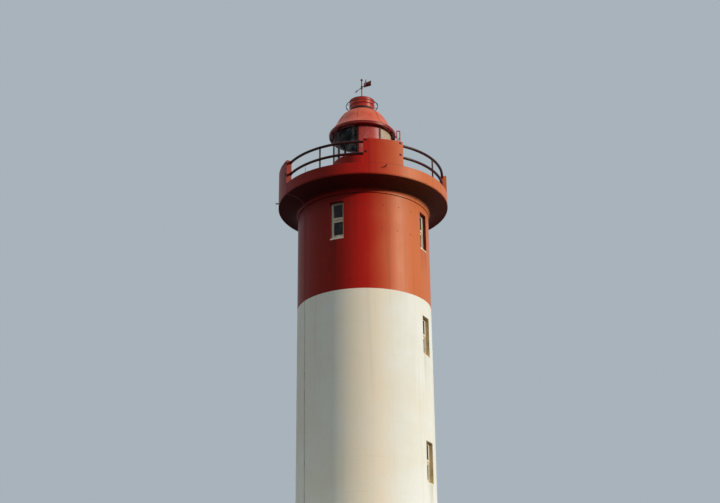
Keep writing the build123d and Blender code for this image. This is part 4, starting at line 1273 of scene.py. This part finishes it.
@dataclass
class Gallery(Part):
    """The gallery: cove, slab, kerb, raised panels, railings, drains, and the bolts that hold them."""

    panels: tuple[tuple[float, float], ...] = ((0.5, 27.5), (90.0, 146.0), (242.0, 298.0))
    bolt_bearings: tuple[float, ...] = (2.0, 25.5, 101.0, 144.0, 244.0, 296.0)
    rail_radius: float = 3.085
    rail_size: float = 0.050
    rail_levels: tuple[float, float] = (16.545, 16.065)
    posts: tuple[float, ...] = (58.75, 178.0, 210.0, 329.25)
    post_size: float = 0.03
    flange: float = 0.06
    flange_height: float = 0.012
    end_plate: float = 0.01
    drains: tuple[float, ...] = (15.0, 107.0, 195.0, 270.0)
    drain_level: float = 15.5
    pipe: float = 0.023
    pipe_end: float = 3.39
    panel_thickness: float = 0.205
    joint_inset: float = 2.2

    def panel_bolts(self) -> None:
        """Bolts with plates through the raised panels, near their ends at the height of the rails."""
        plate = join([block(0.085, 0.085, 0.008), bolt(0.019, 0.016).moved(out=0.007)])
        bearings, levels = crossed(self.bolt_bearings, self.rail_levels)
        frames = facing(bearings, GALLERY_RADIUS - FINE, levels)
        self.piece("panel_bolt_plates", place(plate, frames), RAIL_PAINT)

    def railings(self) -> None:
        """The stout rails between the panels, in place of their nodes: tubes, plates and flanged posts."""
        plate = rod(self.flange, self.end_plate, 24)
        height = self.rail_levels[0] - KERB_TOP
        foot, size = (self.flange, self.flange_height), self.post_size
        post = turned([(self.flange, 0.0), foot, (size, self.flange_height), (size, height)], 20)
        ends = [start for start, _ in self.panels[1:]] + [self.panels[0][0] + 360.0]
        nodes = ("railing_right", "railing_back", "railing_left")
        for node, (_, start), end in zip(nodes, self.panels, ends):
            parts = []
            for level in self.rail_levels:
                tube = disc(self.rail_size, 16) + (self.rail_radius, level)
                parts.append(lathe(tube, 48, start, end - start))
                for bearing, sense in ((start, 1.0), (end, -1.0)):
                    parts.append(place(plate, alongside([bearing], self.rail_radius, level, sense)))
            between = [bearing for bearing in self.posts if start < bearing < end]
            parts.append(place(post, standing(between, self.rail_radius, KERB_TOP)))
            self.piece(f"{node}_tubes", join(parts), RAIL_PAINT, instead=[node])

    def rail_fixings(self) -> None:
        """Weld rings and screws in the plates at the rails' ends."""
        ring = turned([(0.008, 0.0), (0.005, 0.005), (SEAT, 0.008)], 24, self.rail_size)
        fixing = join([ring, head_circle(bolt(0.0038, 0.004), self.rail_size + 0.0095, 6)])
        parts = []
        for pair in self.panels:
            for end, sense in zip(pair, (-1.0, 1.0)):
                for level in self.rail_levels:
                    out = self.end_plate - HAIR
                    parts.append(place(fixing, alongside([end], self.rail_radius, level, sense, out)))
        self.piece("rail_end_fixings", join(parts), RAIL_PAINT)

    def post_fixings(self) -> None:
        """Bolts in the posts' flanges, and weld beads where the posts meet the flanges and the rails."""
        size = self.post_size
        foot_weld = turned([(0.009, 0.0), (0.006, 0.006), (SEAT, 0.010)], 20, size)
        bolts = head_circle(bolt(0.007, 0.009), size + 0.019, 4)
        flange_top = KERB_TOP + self.flange_height - HAIR
        parts = [place(join([foot_weld, bolts]), standing(self.posts, self.rail_radius, flange_top))]
        weld = turned([(0.0, -0.009), (0.007, -0.004), (0.007, 0.004), (0.0, 0.009)], 20, size)
        upper, lower = self.rail_levels
        reach = self.rail_size * 0.9
        for level in (lower - reach, lower + reach, upper - reach):
            parts.append(place(weld, standing(self.posts, self.rail_radius, level)))
        self.piece("post_fixings", join(parts), RAIL_PAINT)

    def drain_fittings(self) -> None:
        """Mortar collars where the drain pipes leave the rim, and the pipes' end bands."""
        collar = turned([(0.026, -0.002), (0.020, 0.009), (0.008, 0.014), (0.0, 0.015)], 24, self.pipe)
        collars = place(collar, facing(self.drains, GALLERY_RADIUS, self.drain_level))
        self.piece("drain_collars", collars, RED_GALLERY)
        outer = [(SEAT, -0.018), (0.0025, -0.016), (0.0025, -0.003), (0.0, 0.0)]
        band = turned(outer + [(-0.004, 0.0), (-0.004, -0.018)], 24, self.pipe, ring=True)
        ends = facing(self.drains, self.pipe_end - FINE, self.drain_level)
        self.piece("drain_end_bands", place(band, ends), PIPE)

    def joints(self) -> None:
        """Sealant lines at the foot of the panels, on both faces."""
        line = np.array([(-0.004, -0.004), (0.004, -0.003), (0.004, 0.003), (-0.004, 0.004)])
        parts = []
        for start, end in self.panels:
            for radius in (GALLERY_RADIUS - 0.002, GALLERY_RADIUS - self.panel_thickness + 0.002):
                arc = end - start - self.joint_inset
                parts.append(lathe(line + (radius, KERB_TOP), 40, start + self.joint_inset, arc))
        self.piece("panel_foot_joints", join(parts), PLUG)

    def build(self) -> None:
        """Finishes the gallery and adds its fittings."""
        self.dress(RED_GALLERY, "gallery_cove", "gallery_slab", "gallery_kerb", "parapet_panels")
        self.dress(PIPE, "drain_pipes")
        self.panel_bolts()
        self.railings()
        self.rail_fixings()
        self.post_fixings()
        self.drain_fittings()
        self.joints()


@dataclass
class Lantern(Part):
    """The lantern: base wall, sill, glazing with its beads, eave, ceiling and the door to the gallery."""

    first_bar: float = -8.0
    panes: int = 8
    glass_radius: float = 1.16
    bar_face: float = 1.174
    bar_width: float = 0.05
    bead_width: float = 0.012
    bead_depth: float = 0.012
    bar_screws: int = 8
    sill_edge: float = 1.204
    sill_bolts: int = 32
    gussets: int = 13
    first_gusset: float = 12.8
    fascia_rivets: int = 56
    ceiling: tuple[tuple[float, float], ...] = (
        (1.11, 18.36), (1.06, 18.55), (0.96, 18.80), (0.82, 19.04), (0.64, 19.22), (0.45, 19.33)
    )
    door_bearing: float = 180.0
    door_face: float = 1.17
    door_rise: float = 0.06
    hinge_bearing: float = -9.0
    hinge_levels: tuple[float, ...] = (0.18, 0.72, 1.22)
    lever_bearing: float = 11.0
    lever_level: float = 0.72
    rain_bead_level: float = 16.925
    rain_bead_arc: float = 34.0

    def glazing(self) -> None:
        """Beads that clamp the panes: upright strips beside each bar and bent strips at head and foot."""
        bars = spread(self.first_bar, self.panes)
        half = degrees((self.bar_width + self.bead_width) / 2 / self.glass_radius)
        upright = block(self.bead_width, GLAZING_TOP - GLAZING_FOOT - 0.003, self.bead_depth, 0.003)
        beside = np.concatenate([bars - half, bars + half])
        parts = [place(upright, facing(beside, self.glass_radius - FINE, (GLAZING_FOOT + GLAZING_TOP) / 2))]
        edge = degrees((self.bar_width / 2 + self.bead_width) / self.glass_radius)
        for bearing in bars:
            for foot in (GLAZING_FOOT + FINE, GLAZING_TOP - 0.014):
                strip = section(self.glass_radius - FINE, self.glass_radius + 0.011, foot, foot + 0.013)
                parts.append(lathe(strip, 14, bearing + edge, 360.0 / self.panes - 2 * edge))
        self.piece("glazing_beads", join(parts), BAR_PAINT)
        levels = np.linspace(GLAZING_FOOT + 0.07, GLAZING_TOP - 0.07, self.bar_screws)
        bearings, levels = crossed(bars, levels)
        screws = place(rivet(0.006), facing(bearings, self.bar_face - SEAT, levels))
        self.piece("glazing_bar_screws", screws, BAR_PAINT)

    def sill_and_eave(self) -> None:
        """Bolts round the sill, gussets under the soffit, and rivets and a rolled edge on the fascia."""
        around = facing(spread(3.0, self.sill_bolts), self.sill_edge - FINE, BASE_TOP + 0.015)
        self.piece("sill_bolts", place(bolt(0.008, 0.008), around), RED_METAL)
        inner, outer = self.bar_face + 0.012, EAVE_RADIUS - 0.024
        outline = [(inner, -0.055), (inner + 0.012, -0.055), (outer, -0.012), (outer, 0.0), (inner, 0.0)]
        frames = alongside(spread(self.first_gusset, self.gussets), 0.0, GLAZING_TOP + FINE, -1.0)
        self.piece("eave_gussets", place(slab(outline, 0.008), frames), BAR_PAINT)
        around = facing(spread(0.0, self.fascia_rivets), EAVE_RADIUS - SEAT, ROOF_FOOT - 0.045)
        roll = bead(EAVE_RADIUS - 0.004, ROOF_FOOT + 0.001, 0.009)
        self.piece("eave_fascia_fixings", join([place(rivet(0.007), around), roll]), BAR_PAINT)

    def door(self) -> None:
        """Strap hinges, a lever and a rain bead on the door to the gallery."""
        height = GALLERY_FLOOR + self.door_rise
        rivets = [rivet(0.008).moved(across, 0.0, 0.006) for across in (-0.08, 0.0)]
        strap = join([block(0.26, 0.034, 0.006), *rivets])
        bearings, levels = crossed([self.door_bearing + self.hinge_bearing], self.hinge_levels)
        parts = [place(strap, facing(bearings, self.door_face + 0.002, height + levels))]
        rose = turned([(0.03, 0.0), (0.03, 0.006), (0.011, 0.01), (0.011, 0.05)], 20)
        bend = [[0.0, 0.02, 0.05], [0.0, -0.04, 0.056], [0.0, -0.12, 0.05]]
        grip = sweep(bend, disc(0.010, 12), (1.0, 0.0, 0.0))
        bearing = self.door_bearing + self.lever_bearing
        at_lever = facing([bearing], self.door_face - 0.004, height + self.lever_level)
        parts.append(place(join([rose, grip]), at_lever))
        outline = np.array([(0.016, 0.0), (0.052, 0.0), (0.048, 0.02), (0.016, 0.03)])
        outline += (self.door_face, self.rain_bead_level)
        parts.append(lathe(outline, 24, self.door_bearing - self.rain_bead_arc / 2, self.rain_bead_arc))
        self.piece("gallery_door_furniture", join(parts), RED_METAL)

    def build(self) -> None:
        """Finishes the lantern and adds its fittings, with a dark lining that follows the roof inside as
        painted shade.
        """
        self.dress(RED_GALLERY, "lantern_base")
        self.dress(RED_METAL, "gallery_door", "lantern_sill")
        self.dress(RAIL_PAINT, "glazing_bars")
        self.dress(BAR_PAINT, "eave_ring")
        self.dress(LANTERN_GLASS, "lantern_glass")
        self.dress(SHEET_PAINT_AND_REFLECTION, "blanking_sheet")
        self.glazing()
        self.sill_and_eave()
        # Painted shade: a dark lining inside the roof
        curve = np.array(self.ceiling)
        self.piece("lantern_ceiling", lathe(np.concatenate([curve, curve[::-1] - 0.004])[::-1]), CEILING_SHADE)
        self.door()


@dataclass
class Roof(Part):
    """The lantern's bell roof."""

    first_seam: float = -8.0
    seams: int = 8
    seam_rivets: int = 9
    rivet_offset: float = 1.6
    collar_radius: float = 0.45

    def build(self) -> None:
        """Finishes the roof, and adds rivets beside its seams and a bead round its collar."""
        self.dress(ROOF_PAINT, "lantern_roof")
        bars = spread(self.first_seam, self.seams)
        beside = np.concatenate([bars - self.rivet_offset, bars + self.rivet_offset])
        levels = np.linspace(ROOF_FOOT + 0.12, ROOF_TOP - 0.12, self.seam_rivets)
        frames = seats("lantern_roof", *crossed(beside, levels), EAVE_RADIUS + 0.3, 15.0)
        self.piece("roof_seam_rivets", place(rivet(0.007), frames), ROOF_PAINT)
        self.piece("roof_collar_bead", bead(self.collar_radius, ROOF_TOP - 0.004, 0.007), ROOF_PAINT)


@dataclass
class Ventilator(Part):
    """The ventilator drum, its lid, the hoop round it and the spindle's foot."""

    drum_radius: float = 0.49
    neck: float = 0.42
    neck_height: float = 0.05
    # Height of the black band of painted shade at the drum's foot
    drum_shade_band: float = 0.042
    hoop_radius: float = 0.63
    hoop_level: float = 19.74
    hoop_size: float = 0.014
    couplings: tuple[float, ...] = (72.0, 252.0)
    brackets: int = 8
    first_bracket: float = 14.5
    band_level: float = 19.701
    band_proud: float = 0.0115
    band_rivets: int = 40
    lower_rivets: float = 0.17
    flange_top: float = 0.0178
    flange_bolts: float = 0.062

    def hoop(self) -> None:
        """Couplings on the hoop: short sleeves along its arc, with a screw in each."""
        parts = []
        for bearing in self.couplings:
            path = outward(bearing + np.linspace(-3.2, 3.2, 7)) * self.hoop_radius + UP * self.hoop_level
            parts.append(sweep(path, disc(self.hoop_size + 0.009, 16)))
        outside = self.hoop_radius + self.hoop_size + 0.008
        parts.append(place(bolt(0.005, 0.006), facing(self.couplings, outside, self.hoop_level)))
        self.piece("hoop_couplings", join(parts), RAIL_PAINT)
        feet = facing(spread(self.first_bracket, self.brackets), self.drum_radius - FINE, self.hoop_level)
        self.piece("hoop_bracket_pads", place(block(0.045, 0.05, 0.006, 0.0015), feet), RED_METAL)

    def build(self) -> None:
        """Finishes the ventilator, and adds black gauze and a black band under the drum as painted shade,
        rivets, the lid's rolled edge and the spindle's bolts.
        """
        self.dress(RED_METAL, "ventilator_drum", "ventilator_lid")
        self.dress(VANE_PAINT, "spindle")
        self.dress(RAIL_PAINT, "ventilator_hoop")
        foot, top, drum = ROOF_TOP + SEAT, ROOF_TOP + self.neck_height - SEAT, self.drum_radius
        # Painted shade: black gauze in the neck and a black band at the drum's foot make the dark gap under
        # the drum
        gauze = lathe(section(self.neck + SEAT, drum - 0.012, foot, top))
        drum_shade_band = lathe(section(drum - FINE, drum + 0.002, top, top + self.drum_shade_band))
        self.piece("ventilator_gauze_and_shade_band", join([gauze, drum_shade_band]), GAUZE_AND_SHADE)
        self.hoop()
        bearings = spread(4.0, self.band_rivets)
        rows = [place(rivet(0.005), facing(bearings, drum + self.band_proud, self.band_level))]
        rows.append(place(rivet(0.005), facing(bearings, drum - SEAT, self.band_level - self.lower_rivets)))
        rows.append(bead(LID_RADIUS - 0.003, LID_FOOT + 0.004, 0.007))
        self.piece("drum_rivets", join(rows), RED_METAL)
        at_flange = standing(spread(30.0, 6), self.flange_bolts, LID_TOP + self.flange_top)
        self.piece("spindle_flange_bolts", place(bolt(0.008, 0.010), at_flange), RAIL_PAINT)


@dataclass
class Vane(Part):
    """The wind vane, which turns on the spindle. One bar carries the arrow and one the tail's socket."""

    body: Body = Body.VANE
    arrow_bearing: float = 213.8
    arrow_bar: tuple[float, float] = (0.012, 0.345)
    tail_bar: tuple[float, float] = (0.02, 0.21)
    head_length: float = 0.15
    head_width: float = 0.1
    hub: float = 0.034
    bore: float = 0.0204
    socket: float = 0.026
    splay: float = 22.0
    tail_length: float = 0.31
    tail_heights: tuple[float, float] = (0.18, 0.245)
    plate: float = 0.008
    middle: float = (HUB_FOOT + HUB_TOP) / 2

    def plate_frames(self, sense: float) -> list[np.ndarray]:
        """Frames of the arrow's and the tail's two plates: x along the plate, y up and z to one of its faces.

        Args:
            sense: 1 for the one face, or -1 for the other, with x reversed.

        Returns:
            Three frames, each one by four by three.
        """
        tail = self.arrow_bearing + 180.0
        centre = UP * self.middle
        root = outward(tail) * self.tail_bar[1] + centre
        found = []
        bearings = (self.arrow_bearing, tail - self.splay, tail + self.splay)
        for start, bearing in zip((centre, root, root), bearings):
            across = -outward(bearing + 90.0)
            found.append(np.stack([outward(bearing) * sense, UP, across * sense, start])[None])
        return found

    def hub_and_bars(self) -> None:
        """The hub with its rolled rings and set screws, the two bars, and the sockets at their ends."""
        size, tail, inner = self.hub, self.arrow_bearing + 180.0, self.bore + FINE
        parts = [lathe(section(self.bore, size, HUB_FOOT, HUB_TOP), 32)]
        for bearing, (radius, reach) in ((self.arrow_bearing, self.arrow_bar), (tail, self.tail_bar)):
            parts.append(place(rod(radius, reach - inner, 14), facing([bearing], inner, self.middle)))
        top, rim = self.tail_heights[0] / 2, self.socket
        ends = [(rim * 0.6, -top - 0.008), (rim, -top), (rim, top), (rim * 0.6, top + 0.008)]
        parts.append(place(turned(ends, 18), standing([tail], self.tail_bar[1], self.middle)))
        self.piece("vane_hub_and_bars", join(parts), VANE_PAINT, ["vane_hub"])
        ring = np.array([(-SEAT, -0.006), (0.004, -0.004), (0.004, 0.004), (-SEAT, 0.006)])
        parts = [lathe(ring + (size, level), 32) for level in (HUB_FOOT + 0.012, HUB_TOP - 0.012)]
        radius, reach = self.arrow_bar
        at_head = facing([self.arrow_bearing], reach - 0.03, self.middle)
        parts.append(place(sleeve(radius, 0.005, 0.044), at_head))
        sides = facing(spread(self.arrow_bearing + 90.0, 2), size - SEAT, self.middle + 0.02)
        parts.append(place(bolt(0.006, 0.008), sides))
        self.piece("vane_rings", join(parts), VANE_PAINT)

    def build(self) -> None:
        """Builds the vane in place of its nodes, and adds rivets on both faces of its plates."""
        self.hub_and_bars()
        reach, width = self.arrow_bar[1], self.head_width / 2
        low, high = (height / 2 for height in self.tail_heights)
        start, end = self.socket - 0.004, self.tail_length
        arrow = slab([(reach, -width), (reach + self.head_length, 0.0), (reach, width)], self.plate)
        tail = slab([(start, -low), (end, -high), (end, high), (start, low)], self.plate)
        at_arrow, *at_tails = self.plate_frames(1.0)
        self.piece("vane_arrow_head", place(arrow, at_arrow), VANE_PAINT, ["vane_arrow"])
        self.piece("vane_tail_plates", place(tail, np.concatenate(at_tails)), VANE_PAINT, ["vane_tail"])
        spots = [[(reach + 0.03, -0.02), (reach + 0.03, 0.02)]]
        spots += [[(along, rise) for along in (start + 0.03, end - 0.03) for rise in (-0.07, 0.0, 0.07)]] * 2
        parts = []
        for sense in (1.0, -1.0):
            for frames, places in zip(self.plate_frames(sense), spots):
                for along, rise in places:
                    head = rivet(0.006).moved(along * sense, rise, self.plate / 2 - 0.0003)
                    parts.append(place(head, frames))
        self.piece("vane_rivets", join(parts), VANE_PAINT)


@dataclass
class Ladder(Part):
    """The ladder from the gallery to the eave. Its stiles end in crooks that come down outside the eave."""

    stiles: tuple[float, float] = (89.169, 110.831)
    stile_radius: float = 1.49
    stile_size: float = 0.024
    width: float = 0.56
    over_eave: float = 0.14
    crook_bend: float = 0.045
    crook_flat: float = 0.04
    rung_size: float = 0.012
    rungs: int = 10
    rung_step: float = 0.29
    stay_levels: tuple[float, float] = (15.86, 16.86)

    def stile_path(self, bearing: float) -> np.ndarray:
        """Points of a stile: straight up, over two quarter turns, and down to the eave.

        On a turn the radius follows the cosine of an even angle and the level its sine.

        Args:
            bearing: Bearing of the stile.

        Returns:
            Count by three.
        """
        bend, top = self.crook_bend, ROOF_FOOT + self.over_eave
        outer, inner = self.stile_radius - bend, self.stile_radius - bend - self.crook_flat
        turn = np.radians(np.linspace(0.0, 90.0, 7))
        radii = [np.full(6, self.stile_radius), outer + bend * np.cos(turn), inner - bend * np.sin(turn)]
        levels = [np.linspace(GALLERY_FLOOR, top - 0.02, 6)]
        levels += [top + bend * np.sin(turn), top + bend * np.cos(turn)]
        radii.append(np.full(3, inner - bend))
        levels.append(np.linspace(top - 0.02, GLAZING_TOP, 3))
        return outward(bearing) * np.concatenate(radii)[:, None] + UP * np.concatenate(levels)[:, None]

    def chord_frames(self, bearing: float, sense: float, inset: float) -> np.ndarray:
        """Frames on a stile at each rung, with z towards the other stile.

        Args:
            bearing: Bearing of the stile.
            sense: 1 for the first stile and -1 for the second.
            inset: How far towards the other stile they stand.

        Returns:
            Count by four by three.
        """
        middle = sum(self.stiles) / 2
        chord = outward(middle + 90.0) * sense
        levels = GALLERY_FLOOR + self.rung_step * (np.arange(self.rungs) + 1)
        origins = outward(bearing) * self.stile_radius + chord * inset + UP * levels[:, None]
        axes = np.stack([outward(middle) * -sense, UP, chord])
        return np.concatenate([np.tile(axes, (self.rungs, 1, 1)), origins[:, None]], 1)

    def build(self) -> None:
        """Builds the ladder in place of its node, and adds foot plates, stay roses and weld rings."""
        size, reach = self.rung_size, self.stile_radius - LANTERN_RADIUS
        bearings, levels = crossed(self.stiles, self.stay_levels)
        stub = self.stile_radius - self.crook_flat - 2 * self.crook_bend - EAVE_RADIUS
        eave_middle = (GLAZING_TOP + ROOF_FOOT) / 2
        round_bar = disc(self.stile_size, 14)
        parts = [sweep(self.stile_path(at), round_bar, outward(at + 90.0)) for at in self.stiles]
        parts.append(place(rod(size, self.width), self.chord_frames(self.stiles[0], 1.0, 0.0)))
        parts.append(place(rod(size, reach), facing(bearings, LANTERN_RADIUS, levels)))
        parts.append(place(rod(size, stub), facing(self.stiles, EAVE_RADIUS, eave_middle)))
        self.piece("ladder", join(parts), LADDER_PAINT, ["lantern_ladder"])
        foot = base_plate(bolt(0.008, 0.010), 0.052)
        plate = turned([(0.034, 0.0), (0.034, 0.005), (size, 0.009)], 20)
        rose = join([plate, head_circle(rivet(0.005).moved(out=0.004), 0.025, 3)])
        parts = [place(foot, standing(self.stiles, self.stile_radius, GALLERY_FLOOR - SEAT))]
        parts.append(place(rose, facing(bearings, LANTERN_RADIUS - SEAT, levels)))
        parts.append(place(rose, facing(self.stiles, EAVE_RADIUS - SEAT, eave_middle)))
        weld = turned([(0.006, 0.0), (0.003, 0.006), (0.0, 0.008)], 12, size)
        for bearing, sense in zip(self.stiles, (1.0, -1.0)):
            parts.append(place(weld, self.chord_frames(bearing, sense, self.stile_size - FINE)))
        self.piece("ladder_fixings", join(parts), LADDER_PAINT)


@dataclass
class Aerial(Part):
    """The slim rod that stands in a socket on the kerb."""

    bearing: float = 228.0
    radius: float = 3.16
    rod: float = 0.009
    socket: float = 0.026
    socket_height: float = 0.12
    ferrules: tuple[float, ...] = (0.9, 1.75)

    def build(self) -> None:
        """Finishes the rod, and adds a base plate with bolts, a gland, two joint ferrules and a cap."""
        self.dress(ZINC, "aerial_rod")
        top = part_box("aerial_rod")[1].z - KERB_TOP
        gland = turned([(self.socket, 0.0), (self.socket, 0.004), (0.016, 0.03), (self.rod, 0.034)], 20)
        parts = [base_plate(bolt(0.007, 0.009), 0.058), gland.moved(out=self.socket_height - FINE)]
        parts += [sleeve(self.rod, 0.004, 0.04).moved(out=height) for height in self.ferrules]
        cap = turned([(self.rod + 0.003, -0.02), (self.rod + 0.003, 0.0), (self.rod * 0.4, 0.004)])
        parts.append(cap.moved(out=top - 0.005))
        foot = standing([self.bearing], self.radius, KERB_TOP - SEAT)
        self.piece("aerial_fittings", place(join(parts), foot), ZINC)


@dataclass
class Stage:
    """The pale floor, the soft light and the camera that looks up as the photograph does."""

    floor_radius: float = 6.5
    camera_distance: float = 46.4677
    camera_level: float = -6.103
    pitch: float = 22.829
    roll: float = -0.5889
    yaw: float = -0.168
    lens: float = 66.1379
    sensor: float = 36.0
    far_end: float = 200.0
    sun_height: float = 19.0
    sun_distance: float = 30.0
    sun_strength: float = 2.9
    sun_spread: float = 2.0
    sun_colour: Colour = (1.0, 0.94, 0.85)
    sky: float = 0.82
    ground: float = 0.03
    sky_colour: Colour = (0.92, 0.99, 1.0)
    backdrop: Colour = srgb(168, 179, 187)

    def floor(self) -> None:
        """A round pale floor of fine plaster: rings of points from the edge to the middle."""
        patch = turned([(self.floor_radius * share, -SEAT) for share in (1.0, 0.6, 0.2, 0.002)], 128)
        mesh = bpy.data.meshes.new("floor")
        mesh.from_pydata(patch.points.tolist(), [], patch.quads.tolist() + [patch.caps[1].tolist()])
        made = linked("floor", mesh)
        graph = Graph(bpy.data.materials.new("pale floor"))
        cloud = graph.noise(0.6)
        colour = graph.mix(cloud.rise(0.3, 0.7), srgb(212, 212, 208), srgb(202, 202, 197))
        mesh.materials.append(graph.surface(Base_Color=colour, Roughness=cloud * 0.2 + 0.7))

    def world(self) -> None:
        """A soft fill, mostly from above, shown as an even pale backdrop to camera, gloss and glass."""
        world = bpy.data.worlds.new("studio")
        bpy.context.scene.world = world
        graph = Graph(world)
        path = graph.node("ShaderNodeLightPath", {})
        camera, gloss, glass = (
            Signal(graph, path[name]) for name in ("Is Camera Ray", "Is Glossy Ray", "Is Transmission Ray")
        )
        height = graph.z.rise(-0.12, 0.7) * self.sky + self.ground
        fill = graph.node("ShaderNodeBackground", {"Color": self.sky_colour, "Strength": height})[0]
        shown = graph.node("ShaderNodeBackground", {"Color": self.backdrop, "Strength": 1.0})[0]
        both = graph.node("ShaderNodeMixShader", {0: camera.most(gloss).most(glass), 1: fill, 2: shown})[0]
        graph.node("ShaderNodeOutputWorld", {"Surface": both})

    def lamp(self) -> None:
        """One soft key light from the right, low like the sun near evening."""
        key = bpy.data.lights.new("key", "SUN")
        key.energy = self.sun_strength
        key.angle = radians(self.sun_spread)
        key.color = self.sun_colour
        lamp = linked("key", key)
        side, height = radians(SUNNY_BEARING), radians(self.sun_height)
        towards = Vector((sin(side) * cos(height), -cos(side) * cos(height), sin(height)))
        lamp.rotation_euler = towards.to_track_quat("Z", "Y").to_euler()
        lamp.location = towards * self.sun_distance

    def camera(self) -> None:
        """The camera, from its distance, level, pitch, yaw and roll about the view axis."""
        pitch, yaw, roll = radians(self.pitch), radians(self.yaw), radians(self.roll)
        ahead = Vector((sin(yaw) * cos(pitch), cos(yaw) * cos(pitch), sin(pitch)))
        right = Vector((cos(yaw), -sin(yaw), 0.0))
        up = right.cross(ahead)
        side, top = cos(roll) * right + sin(roll) * up, cos(roll) * up - sin(roll) * right
        axes = Matrix((side, top, -ahead)).transposed().to_4x4()
        data = bpy.data.cameras.new("camera")
        data.lens = self.lens
        data.sensor_width = self.sensor
        data.clip_end = self.far_end
        made = linked("camera", data)
        made.matrix_world = Matrix.Translation((0.0, -self.camera_distance, self.camera_level)) @ axes
        bpy.context.scene.camera = made

    def build(self) -> None:
        """Sets the stage."""
        self.camera()
        self.lamp()
        self.world()
        self.floor()
        bpy.context.scene.view_settings.view_transform = "Standard"


def main() -> None:
    """Builds the scene in order."""
    logging.basicConfig(level=logging.INFO, format="%(message)s")
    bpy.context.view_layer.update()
    Stage().build()
    for part in (Tower, Windows, Entrance, Gallery, Lantern, Roof, Ventilator, Vane, Ladder, Aerial):
        part().build()


if __name__ == "__main__":
    main()
